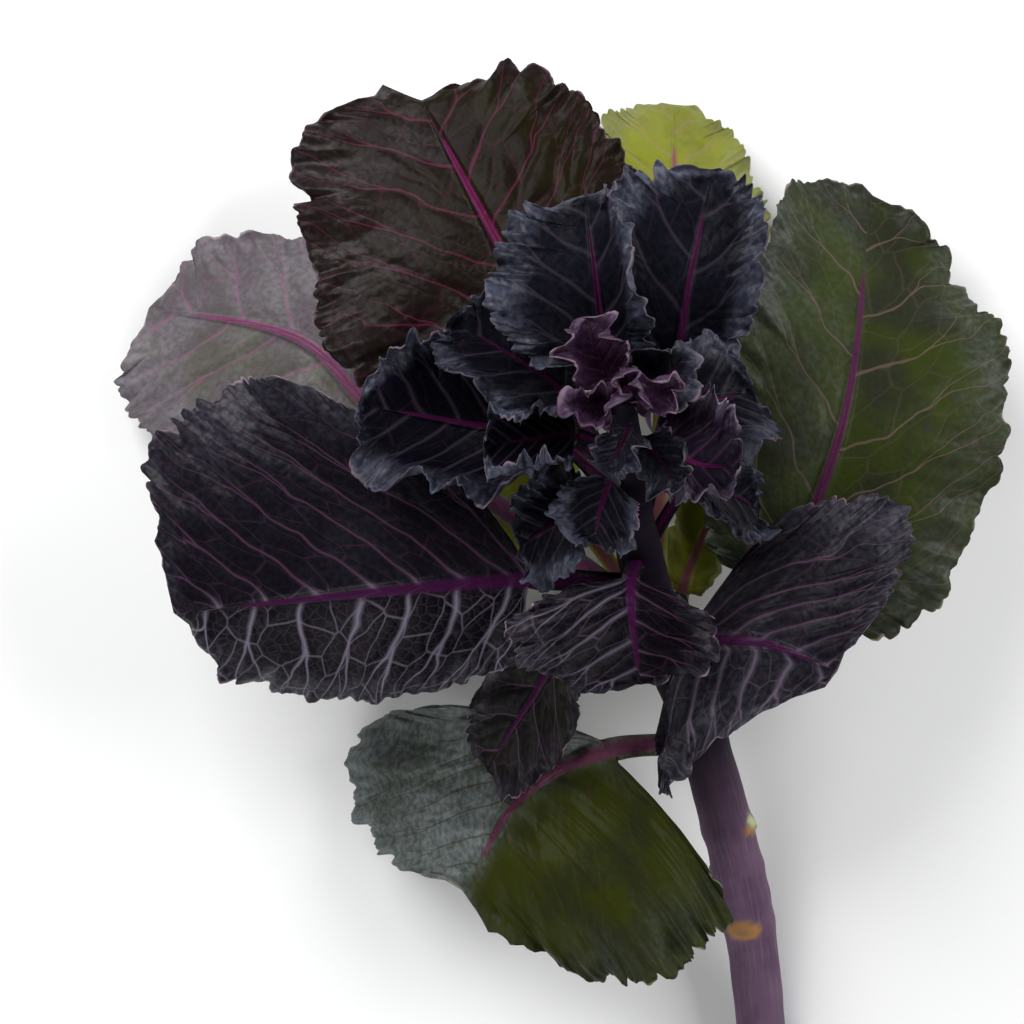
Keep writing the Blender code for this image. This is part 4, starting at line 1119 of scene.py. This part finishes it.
def tube_group():
    """Geometry group that skins the stem's centre line, at the radius of each of its points."""
    tree, given, result = new_group(
        "Stem tube", "GeometryNodeTree",
        [("Geometry", "NodeSocketGeometry", None), ("Material", "NodeSocketMaterial", None),
         ("Sides", "NodeSocketInt", 48), ("Roughness height", "NodeSocketFloat", 0.0002)],
        [("Geometry", "NodeSocketGeometry")])
    at = given.outputs

    def marked(geometry, name, kind):
        value = put(tree, "GeometryNodeSplineParameter").outputs[kind]
        kept = put(tree, "GeometryNodeStoreNamedAttribute",
                   {"Geometry": geometry, "Name": name, "Value": value}, data_type="FLOAT", domain="POINT")
        return kept.outputs[0]

    circle = put(tree, "GeometryNodeCurvePrimitiveCircle", {"Resolution": at["Sides"], "Radius": 1.0})
    ring = marked(circle.outputs[0], "around", "Factor")
    radius = put(tree, "GeometryNodeInputRadius").outputs[0]
    tube = put(tree, "GeometryNodeCurveToMesh", {
        "Curve": marked(at["Geometry"], "along", "Length"), "Profile Curve": ring, "Scale": radius,
        "Fill Caps": True}).outputs[0]
    lumps = noise(tree, put(tree, "GeometryNodeInputPosition").outputs[0], 90.0, 3.0)
    amount = calc(tree, "MULTIPLY", calc(tree, "SUBTRACT", lumps, 0.5),
                  calc(tree, "MULTIPLY", at["Roughness height"], 4.0))
    coated = moved_along(tree, tube, put(tree, "GeometryNodeInputNormal").outputs[0], amount, at["Material"])
    tree.links.new(coated, result.inputs[0])
    return tree


def stem_curve(name, shift, points=160):
    """The stem's centre line as a curve whose radius follows the stem's thickness."""
    shares = np.linspace(0, 1, points)
    centres = along_line(STEM, shares, 1) * MM + shift
    radius = stem_radius(shares) * MM
    for leaf in LEAVES:
        joint = 1 - leaf["node"] * SPREAD / STEM_LENGTH
        radius = radius + 0.00045 * leaf["stalk"] * np.exp(-((shares - joint) / 0.012) ** 2)
    for below, _, _, _ in SCARS:
        radius = radius + 0.0005 * np.exp(-((shares - 1 + below / STEM_LENGTH) / 0.014) ** 2)
    curve = bpy.data.curves.new(name, "CURVE")
    curve.dimensions = "3D"
    spline = curve.splines.new("POLY")
    spline.points.add(points - 1)
    for point, centre, size in zip(spline.points, centres, radius):
        point.co = (*centre, 1.0)
        point.radius = size
    return linked(name, curve)


# Marks of fallen leaves: distance below the growing tip (mm), angle around the stem, size (mm), bud.
SCARS = [(158, 30, 3.4, True), (172, 200, 2.4, True), (190, 110, 4.6, False), (182, -20, 2.2, False)]


def scar_frame(below, angle):
    """A place on the stem's skin, the way along the stem there, and the way out from it."""
    centre = stem_point(below)
    tangent = stem_point(below - 1) - centre
    tangent /= np.linalg.norm(tangent)
    across = np.cross(tangent, (0, 0, 1))
    across /= np.linalg.norm(across)
    up = np.cross(across, tangent)
    turn = math.radians(angle)
    out = across * math.cos(turn) + up * math.sin(turn)
    return centre + out * float(stem_radius(1 - below / STEM_LENGTH)), tangent, out


def paint_stem(stem):
    """Marks the scars, the buds and the cut end on the stem's mesh, and raises scars and buds."""
    mesh = stem.data
    count = len(mesh.vertices)
    points = np.empty(count * 3, np.float32)
    mesh.vertices.foreach_get("co", points)
    points = points.reshape(-1, 3)
    local = (points - WORK["shift"]) / MM
    scar = np.zeros(count)
    bud = np.zeros(count)
    move = np.zeros((count, 3))
    for below, angle, size, budding in SCARS:
        skin, tangent, out = scar_frame(below, angle)
        rel = local - skin
        lengthwise = rel @ tangent
        sideways = np.linalg.norm(rel - lengthwise[:, None] * tangent, axis=1)
        close = np.hypot(lengthwise / (0.75 * size), sideways / (1.35 * size))
        mark = 1 - eased(close, 0.75, 1.05)
        scar = np.maximum(scar, mark * (1 - 0.5 * (1 - eased(close, 0.1, 0.5))))
        height = 0.9 * size * (0.45 if budding else 0.12)
        move += out * (height * (1 - eased(close, 0.0, 1.2)))[:, None]
        if budding:
            tip = np.linalg.norm(rel - tangent * 0.5 * size, axis=1)
            bud = np.maximum(bud, 1 - eased(tip, 0.35 * size, 0.9 * size))
    end = np.linalg.norm(local - STEM[0], axis=1)
    flat = np.abs((local - STEM[0]) @ (STEM[1] - STEM[0])) / np.linalg.norm(STEM[1] - STEM[0])
    pith = np.where(flat < 0.3, 1 - eased(end, 5.2, 6.8), 0) * 0.9
    points = points + move.astype(np.float32) * MM
    mesh.vertices.foreach_set("co", points.ravel())
    store(mesh, "scar", scar * (1 - bud))
    store(mesh, "pith", np.maximum(pith, bud))


def add_stem(settings):
    """Builds the stem and puts it in place of its solid."""
    WORK.setdefault("shift", row_shift())
    group = tube_group()
    made = settled("stem_skin", stem_curve("stem_line", WORK["shift"]), group,
                   {"Material": stem_material(), "Sides": 64, "Roughness height": settings.stem_roughness})
    paint_stem(made)
    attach(made, "root")
    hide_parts("stem")


def add_light(name, place, target, power):
    """A square soft light aimed at a point."""
    lamp = bpy.data.lights.new(name, "AREA")
    lamp.size = LAMP_SIZE
    lamp.energy = power
    made = linked(name, lamp)
    made.location = place
    made.rotation_euler = (target - place).to_track_quat("-Z", "Y").to_euler()


def add_floor():
    """A plain pale floor."""
    mesh = bpy.data.meshes.new("floor")
    corners = [(-FLOOR_HALF, -FLOOR_HALF, 0), (FLOOR_HALF, -FLOOR_HALF, 0), (FLOOR_HALF, FLOOR_HALF, 0),
               (-FLOOR_HALF, FLOOR_HALF, 0)]
    mesh.from_pydata(corners, [], [(0, 1, 2, 3)])
    made, _, skin = new_material("pale floor")
    skin.inputs["Base Color"].default_value = (0.90, 0.90, 0.90, 1.0)
    skin.inputs["Roughness"].default_value = 0.8
    mesh.materials.append(made)
    linked("floor", mesh)


def add_stage(settings):
    """The floor, soft studio lights and a camera that looks down on the head."""
    shift = WORK["shift"]
    head = Vector((-0.029 + shift[0], -0.030 + shift[1], 0.06 + shift[2]))
    add_floor()
    world = bpy.data.worlds.new("studio")
    world.use_nodes = True
    world.node_tree.nodes["Background"].inputs[0].default_value = (0.94, 0.97, 1.0, 1.0)
    world.node_tree.nodes["Background"].inputs[1].default_value = settings.fill_strength
    bpy.context.scene.world = world
    for name, place, share in (("key", KEY_PLACE, 1.0), ("side", SIDE_PLACE, 0.7), ("low", LOW_PLACE, 0.45)):
        add_light(name, head + Vector(place), head, share * settings.key_power)
    bpy.context.scene.view_settings.view_transform = "Standard"
    lens = bpy.data.cameras.new("camera")
    lens.lens = 90
    lens.sensor_width = 36
    camera = linked("camera", lens)
    camera.location = head + Vector((0, 0, CAMERA_HEIGHT))
    bpy.context.scene.camera = camera


# ---------------------------------------------------------------- add-on

class KaleLeafSettings(bpy.types.PropertyGroup):
    """Sizes shared by every leaf."""
    blade_thickness: bpy.props.FloatProperty(
        name="Blade thickness", description="Thickness of the leaf blades", default=0.0006, unit="LENGTH")
    frill_length: bpy.props.FloatProperty(
        name="Frill length", description="Distance between the frills of a margin", default=0.012,
        unit="LENGTH")
    frill_strength: bpy.props.FloatProperty(
        name="Frill strength", description="Share of each leaf's own frill height", default=1.0)


class KaleStemSettings(bpy.types.PropertyGroup):
    """Sizes of the stem."""
    stem_roughness: bpy.props.FloatProperty(
        name="Roughness height", description="Height of the lumps in the stem's skin", default=0.0002,
        unit="LENGTH")


class KaleStageSettings(bpy.types.PropertyGroup):
    """Light on the stage."""
    key_power: bpy.props.FloatProperty(
        name="Key power", description="Power of the main light", default=16.0)
    fill_strength: bpy.props.FloatProperty(
        name="Fill strength", description="Strength of the even light", default=0.10)


class KALE_OT_stem(bpy.types.Operator):
    """Build the cut stem with its scars and side buds"""
    bl_idname = "kale.stem"
    bl_label = "Build Stem"

    def execute(self, context):
        add_stem(context.scene.kale_stem)
        return {"FINISHED"}


def names_of(*kinds):
    """Names of the leaves of the given kinds."""
    return [leaf["name"] for leaf in LEAVES if leaf["name"].startswith(kinds)]


class KALE_OT_heart_leaves(bpy.types.Operator):
    """Build the small curled leaves round the growing tip"""
    bl_idname = "kale.heart_leaves"
    bl_label = "Build Heart Leaves"

    def execute(self, context):
        add_leaves(names_of("heart_leaf"), context.scene.kale_leaves)
        return {"FINISHED"}


class KALE_OT_inner_leaves(bpy.types.Operator):
    """Build the dark leaves that stand round the heart"""
    bl_idname = "kale.inner_leaves"
    bl_label = "Build Inner Leaves"

    def execute(self, context):
        add_leaves(names_of("inner_leaf"), context.scene.kale_leaves)
        return {"FINISHED"}


class KALE_OT_front_leaves(bpy.types.Operator):
    """Build the near leaves and the one that hangs below them"""
    bl_idname = "kale.front_leaves"
    bl_label = "Build Front Leaves"

    def execute(self, context):
        add_leaves(names_of("front_leaf", "hanging_leaf"), context.scene.kale_leaves)
        return {"FINISHED"}


class KALE_OT_outer_leaves(bpy.types.Operator):
    """Build the large outer leaves and the old leaves under them"""
    bl_idname = "kale.outer_leaves"
    bl_label = "Build Outer Leaves"

    def execute(self, context):
        add_leaves(names_of("outer_leaf", "under_leaf"), context.scene.kale_leaves)
        return {"FINISHED"}


class KALE_OT_stage(bpy.types.Operator):
    """Build the floor, the lights and the camera"""
    bl_idname = "kale.stage"
    bl_label = "Build Stage"

    def execute(self, context):
        add_stage(context.scene.kale_stage)
        return {"FINISHED"}


class KALE_PT_panel(bpy.types.Panel):
    """Buttons and sizes of the kale head"""
    bl_label = "Kale Head"
    bl_idname = "KALE_PT_panel"
    bl_space_type = "VIEW_3D"
    bl_region_type = "UI"
    bl_category = "Kale"

    def draw(self, context):
        for settings in (context.scene.kale_leaves, context.scene.kale_stem, context.scene.kale_stage):
            for name in settings.__annotations__:
                self.layout.prop(settings, name)
        for step in STEPS:
            self.layout.operator("kale." + step)


STEPS = ("stem", "heart_leaves", "inner_leaves", "front_leaves", "outer_leaves", "stage")
CLASSES = (KaleLeafSettings, KaleStemSettings, KaleStageSettings, KALE_OT_stem, KALE_OT_heart_leaves,
           KALE_OT_inner_leaves, KALE_OT_front_leaves, KALE_OT_outer_leaves, KALE_OT_stage, KALE_PT_panel)


def register():
    for item in CLASSES:
        bpy.utils.register_class(item)
    bpy.types.Scene.kale_leaves = bpy.props.PointerProperty(type=KaleLeafSettings)
    bpy.types.Scene.kale_stem = bpy.props.PointerProperty(type=KaleStemSettings)
    bpy.types.Scene.kale_stage = bpy.props.PointerProperty(type=KaleStageSettings)


def unregister():
    del bpy.types.Scene.kale_leaves, bpy.types.Scene.kale_stem, bpy.types.Scene.kale_stage
    for item in reversed(CLASSES):
        bpy.utils.unregister_class(item)


def main():
    """Builds the whole head on its stage."""
    register()
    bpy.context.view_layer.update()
    vein_group()
    bloom_and_sheen_group()
    for step in STEPS:
        getattr(bpy.ops.kale, step)()


if __name__ == "__main__":
    main()
